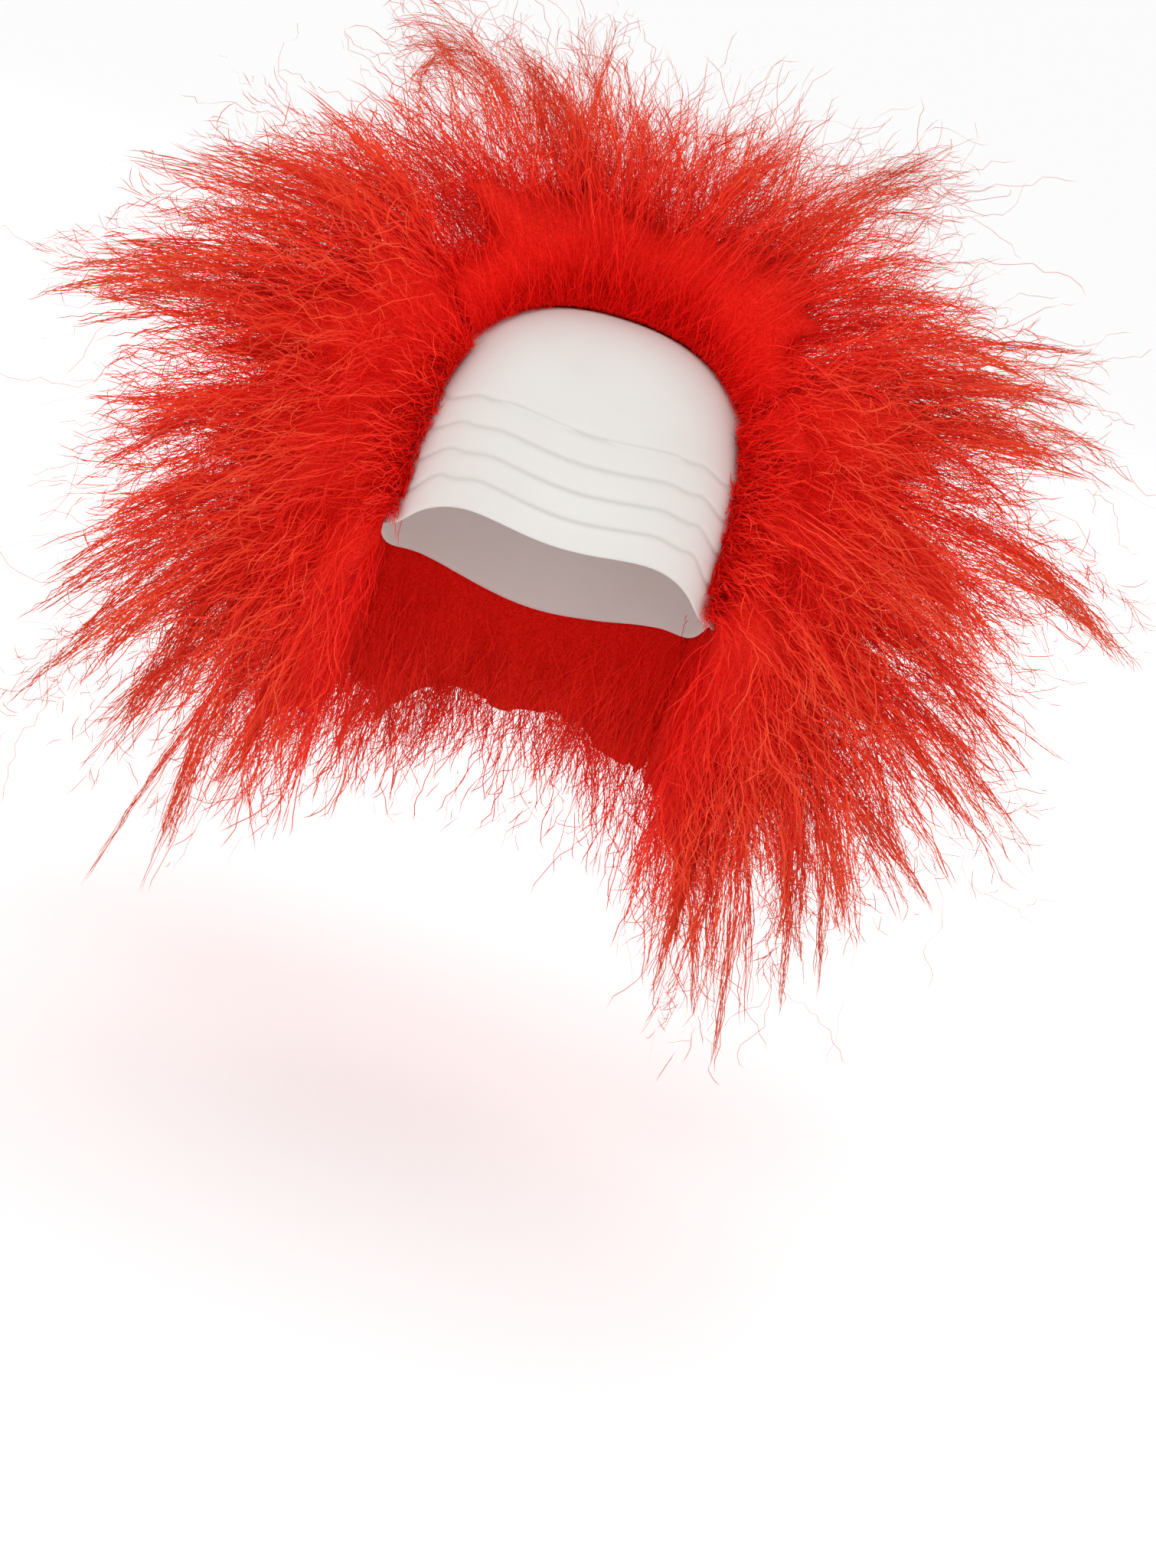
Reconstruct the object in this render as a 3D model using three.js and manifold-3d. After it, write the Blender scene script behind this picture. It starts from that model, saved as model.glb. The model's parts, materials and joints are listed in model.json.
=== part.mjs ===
// Clown wig: a moulded latex bald cap with a wavy brow edge and forehead creases, and long
// frizzy hair that stands out round it in four panels, each a dense mat with locks fused to it.
// Millimetres. +Z is up and the wearer faces -Y. The origin is the inside of the crown's top,
// where the wig rests on a head.

import * as THREE from 'three';
import { mergeVertices } from 'three/addons/utils/BufferGeometryUtils.js';
import Module from 'manifold-3d';

const wasm = await Module();
wasm.setup();

// The head that the cap fits: how broad and long it is, and how far below its crown it is widest
const HEAD_BREADTH = 152;
const HEAD_LENGTH = 194;
const WIDEST_DROP = 85;
const PROFILE_POWER = 2.5;
const PLAN_POWER = 2.2;

// The latex cap, from the crown to the nape, and the moulded forehead creases above its brow edge
const CAP_DROP = 150;
const LATEX_WALL = 1.8;
const CREASE_COUNT = 4;
const CREASE_PITCH = 11;
const CREASE_WIDTH = 3.6;
const CREASE_DEPTH = 0.7;
const CREASE_FADE = [31, 62];

// The hair's whole size, measured from the origin, and a lock's full width
const HAIR_HALF_WIDTH = 255;
const HAIR_RISE = 116;
const HAIR_FALL = 310;
const HAIR_DEPTH = 235;
const LOCK_WIDTH = 58;

// Clearances: between the cap's true surface and the hair's facets, and between two panels
const PIECE_GAP = 0.7;
const PANEL_GAP = 0.3;

// The hairline seen from above: it starts behind the crown's top and sweeps forward to the temples.
// No hair stands in front of the face, which is a little narrower than the head.
const TEMPLE_INSET = 7;
const FACE_HALF_WIDTH = HEAD_BREADTH / 2 - TEMPLE_INSET;
const HAIRLINE_BACK = 28;
const HAIRLINE_SWEEP = 78;
const HAIRLINE_POWER = 2.5;

// How far down the hair keeps clear of the neck
const NECK_DROP = 270;

// Facets
const CAP_SIDES = 44;
const ROOM_ROWS = 10;
const MAT_SIDES = 24;
const LOCK_SIDES = 6;
const HAIRLINE_STEPS = 12;

// The hem's drop below the crown, round from the brow's middle to the nape, as a share of CAP_DROP
const HEM = [
  { turn: 0, drop: 0.52 },
  { turn: 22, drop: 0.502 },
  { turn: 34, drop: 0.535 },
  { turn: 50, drop: 0.655 },
  { turn: 70, drop: 0.71 },
  { turn: 95, drop: 0.72 },
  { turn: 130, drop: 0.88 },
  { turn: 180, drop: 1 },
];

// A lock's half width along its length, as a share of half its full width
const LOCK_SECTIONS = [
  { along: 0.25, wide: 0.9 },
  { along: 0.5, wide: 0.95 },
  { along: 0.72, wide: 0.66 },
  { along: 0.89, wide: 0.3 },
];
const LOCK_FLATNESS = 0.62;

// The locks of the photographed outline. A tip lies across (share of HAIR_HALF_WIDTH), up (share of
// HAIR_RISE, or of HAIR_FALL below the crown) and back (share of HAIR_DEPTH). The bow says how far
// along its root's direction a lock is thrown before it falls, as a share of its length, and the
// width is a share of LOCK_WIDTH.
const OUTLINE_LOCKS = [
  { panel: 'crown', across: -0.20, up: 1.00, back: 0.19, bow: 0.55, width: 0.75 },
  { panel: 'crown', across: -0.35, up: 0.80, back: 0.24, bow: 0.80, width: 0.80 },
  { panel: 'crown', across: -0.50, up: 0.66, back: 0.08, bow: 1.05, width: 0.75 },
  { panel: 'crown', across: -0.06, up: 0.76, back: 0.16, bow: 0.50, width: 0.80 },
  { panel: 'crown', across: 0.12, up: 0.90, back: 0.15, bow: 0.50, width: 0.65 },
  { panel: 'crown', across: 0.24, up: 0.86, back: 0.21, bow: 0.55, width: 0.85 },
  { panel: 'crown', across: 0.48, up: 0.83, back: 0.15, bow: 0.75, width: 0.80 },
  { panel: 'crown', across: 0.50, up: 0.57, back: 0.08, bow: 0.60, width: 0.75 },
  { panel: 'left', across: -0.58, up: 0.40, back: 0.22, bow: 0.40, width: 0.90 },
  { panel: 'left', across: -0.70, up: 0.28, back: 0.04, bow: 0.45, width: 0.90 },
  { panel: 'left', across: -0.80, up: 0.04, back: 0.26, bow: 0.40, width: 0.90 },
  { panel: 'left', across: -0.88, up: -0.06, back: 0.12, bow: 0.35, width: 0.85 },
  { panel: 'left', across: -0.96, up: -0.13, back: -0.02, bow: 0.35, width: 0.85 },
  { panel: 'left', across: -1.00, up: -0.22, back: 0.15, bow: 0.35, width: 0.85 },
  { panel: 'left', across: -0.80, up: -0.32, back: 0.00, bow: 0.35, width: 0.95 },
  { panel: 'left', across: -0.83, up: -0.43, back: 0.14, bow: 0.35, width: 0.95 },
  { panel: 'left', across: -0.76, up: -0.50, back: -0.04, bow: 0.35, width: 0.95 },
  { panel: 'left', across: -0.81, up: -0.66, back: 0.16, bow: 0.35, width: 0.95 },
  { panel: 'left', across: -0.79, up: -0.80, back: 0.02, bow: 0.40, width: 0.75 },
  { panel: 'left', across: -0.66, up: -0.86, back: 0.10, bow: 0.35, width: 0.80 },
  { panel: 'left', across: -0.48, up: -0.97, back: -0.02, bow: 0.30, width: 0.80 },
  { panel: 'left', across: -0.35, up: -0.73, back: 0.06, bow: 0.25, width: 0.65 },
  { panel: 'right', across: 0.60, up: 0.42, back: 0.16, bow: 0.40, width: 0.85 },
  { panel: 'right', across: 0.77, up: 0.34, back: 0.02, bow: 0.40, width: 0.85 },
  { panel: 'right', across: 0.82, up: 0.14, back: 0.20, bow: 0.40, width: 0.90 },
  { panel: 'right', across: 0.88, up: 0.03, back: 0.04, bow: 0.40, width: 0.90 },
  { panel: 'right', across: 1.00, up: -0.22, back: -0.02, bow: 0.50, width: 0.95 },
  { panel: 'right', across: 0.83, up: -0.26, back: 0.14, bow: 0.35, width: 0.95 },
  { panel: 'right', across: 0.84, up: -0.36, back: -0.03, bow: 0.35, width: 0.95 },
  { panel: 'right', across: 0.89, up: -0.47, back: 0.12, bow: 0.35, width: 0.90 },
  { panel: 'right', across: 0.95, up: -0.57, back: 0.02, bow: 0.35, width: 0.70 },
  { panel: 'right', across: 0.82, up: -0.70, back: 0.14, bow: 0.40, width: 0.85 },
  { panel: 'right', across: 0.68, up: -0.76, back: 0.00, bow: 0.35, width: 0.95 },
  { panel: 'right', across: 0.62, up: -0.91, back: 0.08, bow: 0.35, width: 0.95 },
  { panel: 'right', across: 0.46, up: -1.00, back: -0.04, bow: 0.30, width: 0.90 },
  { panel: 'right', across: 0.37, up: -0.77, back: 0.04, bow: 0.25, width: 0.75 },
];

// The panels. Each is filled with rows and columns of locks between two turns round the head and two
// rises, in degrees, that reach a share of the hair's outer form. Its roots rise no higher than its top.
const PANELS = [
  { name: 'crown', turns: [100, 260], rises: [46, 76], top: 90, rows: 2, columns: 6, reach: 0.95 },
  { name: 'left', turns: [-122, -58], rises: [-54, 30], top: 38, rows: 4, columns: 4, reach: 0.88 },
  { name: 'right', turns: [58, 122], rises: [-54, 30], top: 38, rows: 4, columns: 4, reach: 0.88 },
  { name: 'back', turns: [138, 222], rises: [-56, 40], top: 48, rows: 5, columns: 4, reach: 0.98 },
];
const REACH_VARIES = 0.14;
const FILL_BOW = 0.4;
const FILL_WIDTH = 0.95;

// Steps that never repeat, which spread the locks without rows showing
const GOLDEN_STEP = 0.618034;
const PLASTIC_STEP = 0.754878;

// The point that the hair spreads from, inside the head
const CENTRE_BACK = 10;
const CENTRE_DROP = 80;
const CENTRE = new THREE.Vector3(0, CENTRE_BACK, -CENTRE_DROP);

// How much shorter the hair is in front of its centre than behind it
const FRONT_SHARE = 0.5;

// The root mat: its share of the way out to the hair's outer form, the turns over which it starts,
// and the rises of its rows
const MAT_SHARE = 0.45;
const MAT_FADE = [42, 78];
const MAT_RISES = [72, 50, 30, 10, -10, -30, -46, -56];

// Roots: how many degrees higher than its tip a level lock starts, and how far it starts behind the
// hairline and above the hem
const ROOT_LIFT = 18;
const ROOT_SETBACK = 9;
const ROOT_ABOVE_HEM = 12;

// How much the way back counts against the ways up and across where the panels part
const BACK_WEIGHT = 1.43;

const LATEX = { color: '#ebe8e4', roughness: 0.42, metalness: 0 };
const HAIR = {
  crown: { color: '#d81410', roughness: 0.75, metalness: 0 },
  left: { color: '#d2180f', roughness: 0.75, metalness: 0 },
  right: { color: '#d41b12', roughness: 0.75, metalness: 0 },
  back: { color: '#c2120c', roughness: 0.75, metalness: 0 },
};

function radians(degrees) {
  return THREE.MathUtils.degToRad(degrees);
}

// A smooth value between the rows of a table
function between(table, key, place, value) {
  const last = table.length - 1;
  const next = Math.min(Math.max(table.findIndex((row) => row[key] >= place), 1), last);
  const low = table[next - 1];
  const high = table[next];
  const share = THREE.MathUtils.smoothstep(place, low[key], high[key]);
  return low[value] + (high[value] - low[value]) * share;
}

// A turn round the head from the brow's middle, the same on both sides
function fold(turn) {
  return Math.abs(THREE.MathUtils.euclideanModulo(turn + 180, 360) - 180);
}

// How far the hem lies below the crown at a turn round the head
function hemDrop(turn) {
  return CAP_DROP * between(HEM, 'turn', fold(turn), 'drop');
}

// The distance from the head's middle line to its side at a turn, for a form grown by an offset
function planRadius(turn, offset) {
  const across = Math.abs(Math.sin(radians(turn))) / (HEAD_BREADTH / 2 + offset);
  const along = Math.abs(Math.cos(radians(turn))) / (HEAD_LENGTH / 2 + offset);
  return (across ** PLAN_POWER + along ** PLAN_POWER) ** (-1 / PLAN_POWER);
}

// A point of the head's form, grown by an offset, at a turn and a drop below the crown
function headPoint(turn, drop, offset) {
  const height = WIDEST_DROP + offset;
  const rest = Math.max(1 - drop / height, 0);
  const share = (1 - rest ** PROFILE_POWER) ** (1 / PROFILE_POWER);
  const radius = planRadius(turn, offset) * share;
  return new THREE.Vector3(
    radius * Math.sin(radians(turn)),
    -radius * Math.cos(radians(turn)),
    offset - drop,
  );
}

// A closed mesh through rings of points, with a pole at each end
function ringMesh(firstPole, rings, lastPole) {
  const sides = rings[0].length;
  const points = [firstPole, ...rings.flat(), lastPole];
  const triangles = [];
  const at = (ring, side) => 1 + ring * sides + (side % sides);
  for (let side = 0; side < sides; side++) {
    triangles.push(0, at(0, side), at(0, side + 1));
    for (let ring = 0; ring + 1 < rings.length; ring++) {
      triangles.push(at(ring, side), at(ring + 1, side), at(ring + 1, side + 1));
      triangles.push(at(ring, side), at(ring + 1, side + 1), at(ring, side + 1));
    }
    triangles.push(points.length - 1, at(rings.length - 1, side + 1), at(rings.length - 1, side));
  }
  const geometry = new THREE.BufferGeometry();
  geometry.setAttribute('position', new THREE.Float32BufferAttribute(points.flatMap((p) => p.toArray()), 3));
  geometry.setIndex(triangles);
  return geometry;
}

function toSolid(geometry) {
  const bare = geometry.clone();
  bare.deleteAttribute('normal');
  bare.deleteAttribute('uv');
  const merged = mergeVertices(bare);
  return new wasm.Manifold(new wasm.Mesh({
    numProp: 3,
    vertProperties: new Float32Array(merged.attributes.position.array),
    triVerts: new Uint32Array(merged.index.array),
  }));
}

function toMesh(geometry, name, finish) {
  const mesh = new THREE.Mesh(geometry, new THREE.MeshStandardMaterial(finish));
  mesh.name = name;
  return mesh;
}

function solidGeometry(solid) {
  const { vertProperties, triVerts } = solid.getMesh();
  const geometry = new THREE.BufferGeometry();
  geometry.setAttribute('position', new THREE.BufferAttribute(vertProperties, 3));
  geometry.setIndex(new THREE.BufferAttribute(triVerts, 1));
  geometry.computeVertexNormals();
  return geometry;
}

function headRing(offset, dropAt, inset = () => 0) {
  return Array.from({ length: CAP_SIDES }, (_, side) => {
    const turn = (360 * side) / CAP_SIDES;
    return headPoint(turn, dropAt(turn), offset - inset(turn));
  });
}

// The crown's rows, as shares of the drop to the hem
const CROWN_ROWS = [0.004, 0.02, 0.06, 0.13, 0.22, 0.32];
const INNER_ROWS = [0.01, 0.05, 0.14, 0.28, 0.46, 0.7, 1];

// How deep the creases are at a turn: full across the brow, gone at the temples
function creaseDepth(turn) {
  return CREASE_DEPTH * (1 - THREE.MathUtils.smoothstep(fold(turn), ...CREASE_FADE));
}

// The latex cap: down the outside row by row, round the hem, and up the inside
function baldCap() {
  const brow = CAP_DROP * HEM[0].drop;
  const rings = CROWN_ROWS.map((share) => headRing(LATEX_WALL, (turn) => share * hemDrop(turn)));
  for (let crease = CREASE_COUNT; crease > 0; crease--) {
    for (const side of [1, 0, -1]) {
      const share = 1 - (crease * CREASE_PITCH + (side * CREASE_WIDTH) / 2) / brow;
      const inset = side === 0 ? creaseDepth : () => 0;
      rings.push(headRing(LATEX_WALL, (turn) => share * hemDrop(turn), inset));
    }
  }
  rings.push(headRing(LATEX_WALL, (turn) => LATEX_WALL + hemDrop(turn)));
  for (const share of [...INNER_ROWS].reverse()) {
    rings.push(headRing(0, (turn) => share * hemDrop(turn)));
  }
  return ringMesh(new THREE.Vector3(0, 0, LATEX_WALL), rings, new THREE.Vector3(0, 0, 0));
}

// The room that the cap, the head and the neck take, which the hair keeps clear of
function headRoom() {
  const offset = LATEX_WALL + PIECE_GAP;
  const rings = Array.from({ length: ROOM_ROWS }, (_, row) => {
    const slope = (Math.PI / 2) * ((row + 1) / ROOM_ROWS);
    const drop = (WIDEST_DROP + offset) * (1 - Math.cos(slope) ** (2 / PROFILE_POWER));
    return headRing(offset, () => drop);
  });
  rings.push(headRing(offset, () => NECK_DROP));
  return toSolid(ringMesh(new THREE.Vector3(0, 0, offset), rings, new THREE.Vector3(0, 0, -NECK_DROP)));
}

// The hairline seen from above: how far back the hair starts at a distance across
function hairline(across) {
  return HAIRLINE_BACK - HAIRLINE_SWEEP * Math.abs(across / FACE_HALF_WIDTH) ** HAIRLINE_POWER;
}

// The space over the bare crown and in front of the face, which the hair stands round
function faceRoom() {
  const outline = new THREE.Shape();
  const front = -2 * HEAD_LENGTH;
  outline.moveTo(-FACE_HALF_WIDTH, front);
  outline.lineTo(FACE_HALF_WIDTH, front);
  for (let step = 0; step <= HAIRLINE_STEPS; step++) {
    const across = FACE_HALF_WIDTH * Math.cos((Math.PI * step) / HAIRLINE_STEPS);
    outline.lineTo(across, hairline(across));
  }
  outline.closePath();
  const height = 2 * (HAIR_RISE + HAIR_FALL);
  const block = new THREE.ExtrudeGeometry(outline, { depth: height, bevelEnabled: false });
  block.translate(0, 0, -height / 2);
  return toSolid(block);
}

// A direction from a turn round the head and a rise above level
function direction(turn, rise) {
  return new THREE.Vector3(
    Math.cos(radians(rise)) * Math.sin(radians(turn)),
    -Math.cos(radians(rise)) * Math.cos(radians(turn)),
    Math.sin(radians(rise)),
  );
}

// How far the hair's outer form is from its centre in a direction
function formReach(way) {
  const across = way.x / HAIR_HALF_WIDTH;
  const back = way.y / (HAIR_DEPTH * (way.y > 0 ? 1 : FRONT_SHARE));
  const up = way.z / (way.z > 0 ? HAIR_RISE - CENTRE.z : HAIR_FALL + CENTRE.z);
  return 1 / Math.hypot(across, back, up);
}

// How far the head's side is from the hair's centre in a direction
function headReach(way) {
  return 1 / Math.hypot(way.x / (HEAD_BREADTH / 2), way.y / (HEAD_LENGTH / 2), way.z / WIDEST_DROP);
}

// The dense mat at the roots: part of the way out from the head to the hair's outer form. It
// fades out towards the brow.
function rootMat() {
  const matPoint = (turn, rise) => {
    const way = direction(turn, rise);
    const share = MAT_SHARE * THREE.MathUtils.smoothstep(fold(turn), ...MAT_FADE);
    return way.multiplyScalar(THREE.MathUtils.lerp(headReach(way), formReach(way), share)).add(CENTRE);
  };
  const rings = MAT_RISES.map((rise) => Array.from({ length: MAT_SIDES }, (_, side) => (
    matPoint((360 * side) / MAT_SIDES, rise)
  )));
  const top = matPoint(180, 90);
  const bottom = new THREE.Vector3(CENTRE.x, CENTRE.y, rings.at(-1)[MAT_SIDES / 2].z);
  return toSolid(ringMesh(top, rings, bottom));
}

// Where a lock with its tip at a point leaves the head: higher than the tip, and above the hem
function rootOf(tip, top) {
  const away = tip.clone().sub(CENTRE).normalize();
  const level = Math.hypot(away.x, away.y);
  const turn = THREE.MathUtils.radToDeg(Math.atan2(away.x, -away.y));
  const rise = THREE.MathUtils.radToDeg(Math.atan2(away.z, level)) + ROOT_LIFT * level;
  const way = direction(turn, Math.min(rise, top));
  const offset = LATEX_WALL + PIECE_GAP;
  const size = new THREE.Vector3(HEAD_BREADTH / 2 + offset, HEAD_LENGTH / 2 + offset, WIDEST_DROP);
  const root = way.clone().multiply(size).add(CENTRE);
  root.z = Math.max(root.z, ROOT_ABOVE_HEM - hemDrop(turn));
  const limit = Math.min(Math.abs(root.x), FACE_HALF_WIDTH);
  root.y = Math.max(root.y, hairline(limit) + ROOT_SETBACK);
  return root;
}

// One lock: a flattened spindle along a curve from its root on the head to its tip
function lock(tip, bow, width, top) {
  const root = rootOf(tip, top);
  const out = root.clone().sub(CENTRE).normalize();
  const throwTo = root.clone().addScaledVector(out, bow * root.distanceTo(tip));
  const curve = new THREE.QuadraticBezierCurve3(root, throwTo, tip);
  const across = new THREE.Vector3(CENTRE.y - tip.y, tip.x, 0).normalize();
  const rings = LOCK_SECTIONS.map(({ along, wide }) => {
    const middle = curve.getPoint(along);
    const tangent = curve.getTangent(along);
    const thick = across.clone().cross(tangent).normalize();
    const side = tangent.cross(thick);
    const half = (wide * width * LOCK_WIDTH) / 2;
    return Array.from({ length: LOCK_SIDES }, (_, corner) => {
      const angle = (2 * Math.PI * corner) / LOCK_SIDES;
      return middle.clone()
        .addScaledVector(side, half * Math.cos(angle))
        .addScaledVector(thick, half * LOCK_FLATNESS * Math.sin(angle));
    });
  });
  return toSolid(ringMesh(curve.getPoint(LOCK_SECTIONS[0].along), rings, tip));
}

function outlineTip(row) {
  const up = row.up * (row.up > 0 ? HAIR_RISE : HAIR_FALL);
  return new THREE.Vector3(row.across * HAIR_HALF_WIDTH, row.back * HAIR_DEPTH, up);
}

// A panel's fill locks, staggered from row to row
function fillTips(panel) {
  const tips = [];
  for (let row = 0; row < panel.rows; row++) {
    for (let column = 0; column < panel.columns; column++) {
      const count = row * panel.columns + column + 1;
      const along = (column + (count * GOLDEN_STEP) % 1) / panel.columns;
      const above = (row + (count * PLASTIC_STEP) % 1) / panel.rows;
      const turn = THREE.MathUtils.lerp(...panel.turns, along);
      const rise = THREE.MathUtils.lerp(...panel.rises, above);
      const way = direction(turn, rise);
      const reach = formReach(way) * (panel.reach - REACH_VARIES * ((count * GOLDEN_STEP) % 1));
      tips.push(way.multiplyScalar(reach).add(CENTRE));
    }
  }
  return tips;
}

// Cut away what lies behind a plane through the centre, half a panel gap short of it
function keepBefore(solid, normal) {
  const size = 4 * (HAIR_FALL + HAIR_HALF_WIDTH);
  const block = new THREE.BoxGeometry(size, size, size);
  block.translate(0, 0, PANEL_GAP / 2 - size / 2);
  const turn = new THREE.Quaternion().setFromUnitVectors(new THREE.Vector3(0, 0, 1), normal.normalize());
  block.applyQuaternion(turn);
  block.translate(...CENTRE);
  return solid.subtract(toSolid(block));
}

// The planes that part the panels: each keeps the directions in which it reaches furthest
const UP = new THREE.Vector3(0, 0, 1);
const LEFT = new THREE.Vector3(-1, 0, 0);
const RIGHT = new THREE.Vector3(1, 0, 0);
const BACK = new THREE.Vector3(0, BACK_WEIGHT, 0);
const PARTINGS = {
  crown: [[UP, LEFT], [UP, RIGHT], [UP, BACK]],
  left: [[LEFT, UP], [LEFT, RIGHT], [LEFT, BACK]],
  right: [[RIGHT, UP], [RIGHT, LEFT], [RIGHT, BACK]],
  back: [[BACK, UP], [BACK, LEFT], [BACK, RIGHT]],
};

// A panel: the mat and its locks in one solid, clear of the cap, the face and the other panels
function hairPanel(panel, mat, rooms) {
  let solid = mat;
  for (const row of OUTLINE_LOCKS.filter((entry) => entry.panel === panel.name)) {
    solid = solid.add(lock(outlineTip(row), row.bow, row.width, panel.top));
  }
  for (const tip of fillTips(panel)) {
    solid = solid.add(lock(tip, FILL_BOW, FILL_WIDTH, panel.top));
  }
  for (const room of rooms) {
    solid = solid.subtract(room);
  }
  for (const [ahead, behind] of PARTINGS[panel.name]) {
    solid = keepBefore(solid, ahead.clone().sub(behind));
  }
  return solid;
}

const wig = new THREE.Group();
wig.add(toMesh(baldCap(), 'bald_cap', LATEX));
const mat = rootMat();
const rooms = [headRoom(), faceRoom()];
for (const panel of PANELS) {
  const geometry = solidGeometry(hairPanel(panel, mat, rooms));
  wig.add(toMesh(geometry, `hair_${panel.name}`, HAIR[panel.name]));
}

export default wig;
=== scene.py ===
# %% [markdown]
# # A clown wig with a bald latex cap
#
# This notebook dresses the solid model of a wig: a moulded latex cap with a wavy brow edge and
# four forehead creases, and long frizzy red hair that stands out all round it. The solid model
# fixes every size and place. Here each piece gets the surface that the real one has.

# %% Load the solid model, which is the fixed frame
import json
import math

import bpy
import numpy as np
from mathutils import Matrix, Vector

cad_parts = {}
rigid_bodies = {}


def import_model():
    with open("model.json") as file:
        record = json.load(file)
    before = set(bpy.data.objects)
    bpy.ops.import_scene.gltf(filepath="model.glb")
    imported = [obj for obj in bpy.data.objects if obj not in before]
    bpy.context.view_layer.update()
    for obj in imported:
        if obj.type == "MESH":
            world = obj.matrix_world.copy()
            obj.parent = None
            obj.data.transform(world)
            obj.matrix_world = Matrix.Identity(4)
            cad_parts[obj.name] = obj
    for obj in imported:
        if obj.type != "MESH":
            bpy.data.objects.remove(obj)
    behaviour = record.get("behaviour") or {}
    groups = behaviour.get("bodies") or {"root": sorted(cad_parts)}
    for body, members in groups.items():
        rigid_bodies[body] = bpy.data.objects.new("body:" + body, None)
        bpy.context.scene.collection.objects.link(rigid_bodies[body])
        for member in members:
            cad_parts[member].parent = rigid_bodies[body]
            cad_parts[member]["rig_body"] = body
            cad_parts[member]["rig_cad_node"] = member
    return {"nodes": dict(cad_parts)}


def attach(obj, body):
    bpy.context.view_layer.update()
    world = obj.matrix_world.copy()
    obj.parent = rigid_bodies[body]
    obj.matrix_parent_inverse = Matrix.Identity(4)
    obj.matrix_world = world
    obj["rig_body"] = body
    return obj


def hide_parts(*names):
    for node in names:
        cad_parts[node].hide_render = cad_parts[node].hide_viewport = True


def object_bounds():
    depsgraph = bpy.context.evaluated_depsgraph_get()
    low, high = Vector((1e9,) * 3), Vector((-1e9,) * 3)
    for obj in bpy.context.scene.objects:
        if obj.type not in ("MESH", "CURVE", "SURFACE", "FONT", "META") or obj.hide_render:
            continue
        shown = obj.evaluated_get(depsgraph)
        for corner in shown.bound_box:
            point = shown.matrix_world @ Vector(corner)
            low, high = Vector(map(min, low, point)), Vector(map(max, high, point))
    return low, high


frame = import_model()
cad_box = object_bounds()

MM = 0.001
print("solid model from", cad_box[0], "to", cad_box[1])

# %% [markdown]
# ## The camera
#
# The wig was photographed from in front, from a little above, by a camera that was tilted to one
# side. Three directions describe such a view: the way the camera looks, its right and its up. The
# picture's middle lies beside the cap and below its crown. The roll comes last, about the way the
# camera looks, so that it tilts the picture and moves nothing.

# %% Place the camera
VIEW_TURN = math.radians(-2)
VIEW_RISE = math.radians(15)
VIEW_ROLL = math.radians(18)
VIEW_DISTANCE = 1.7
PICTURE_HEIGHT = 0.6656
PICTURE_MIDDLE = {"right": 0.041, "up": -0.187, "away": 0.023}
SENSOR_HEIGHT = 24
CLIP_END = 200

looks_along = Vector((
    -math.sin(VIEW_TURN) * math.cos(VIEW_RISE),
    math.cos(VIEW_TURN) * math.cos(VIEW_RISE),
    -math.sin(VIEW_RISE),
))
view_right = Vector((math.cos(VIEW_TURN), math.sin(VIEW_TURN), 0))
view_up = view_right.cross(looks_along)
aim = (
    view_right * PICTURE_MIDDLE["right"]
    + view_up * PICTURE_MIDDLE["up"]
    + looks_along * PICTURE_MIDDLE["away"]
)

camera = bpy.data.objects.new("camera", bpy.data.cameras.new("camera"))
bpy.context.scene.collection.objects.link(camera)
bpy.context.scene.camera = camera
camera.data.sensor_fit = "VERTICAL"
camera.data.sensor_height = SENSOR_HEIGHT
camera.data.lens = SENSOR_HEIGHT * VIEW_DISTANCE / PICTURE_HEIGHT
camera.data.clip_end = CLIP_END
upright = Matrix((view_right, view_up, -looks_along)).transposed().to_4x4()
camera.matrix_world = (
    Matrix.Translation(aim - looks_along * VIEW_DISTANCE)
    @ upright
    @ Matrix.Rotation(VIEW_ROLL, 4, "Z")
)
print("camera at", camera.matrix_world.translation)

# %% [markdown]
# ## Floor and light
#
# Red hair on a pale ground asks for plain, even light from all round, or its shadows turn brown.
# The world gives most of it. Large soft lights above the brow and in front draw the glow on the
# cap, one on each side fills the hair, and one behind makes the loose ends shine. The floor is so
# wide that it fills the picture to its edges.

# %% Build the floor and the lights
FLOOR_GAP = 0.05
FLOOR_SIZE = 400
FLOOR_COLOUR = (0.97, 0.97, 0.97)
FLOOR_ROUGHNESS = 0.9
WORLD_STRENGTH = 1.0
LIGHTS_AIM_AT = Vector((0, 0, -0.08))


def deselect_all():
    if bpy.context.object and bpy.context.object.mode != "OBJECT":
        bpy.ops.object.mode_set(mode="OBJECT")
    bpy.ops.object.select_all(action="DESELECT")


def make_active(piece):
    deselect_all()
    piece.select_set(True)
    bpy.context.view_layer.objects.active = piece


def plain_material(name, colour, roughness):
    material = bpy.data.materials.new(name)
    material.use_nodes = True
    shader = material.node_tree.nodes["Principled BSDF"]
    shader.inputs["Base Color"].default_value = (*colour, 1)
    shader.inputs["Roughness"].default_value = roughness
    return material, shader


deselect_all()
bpy.ops.mesh.primitive_plane_add(size=FLOOR_SIZE, location=(0, 0, cad_box[0][2] - FLOOR_GAP))
floor = bpy.context.object
floor.name = "floor"
floor_material, _ = plain_material("pale_floor", FLOOR_COLOUR, FLOOR_ROUGHNESS)
floor.data.materials.append(floor_material)

world = bpy.data.worlds.new("studio")
world.use_nodes = True
world.node_tree.nodes["Background"].inputs["Color"].default_value = (1, 1, 1, 1)
world.node_tree.nodes["Background"].inputs["Strength"].default_value = WORLD_STRENGTH
bpy.context.scene.world = world
bpy.context.scene.view_settings.view_transform = "Standard"

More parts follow.
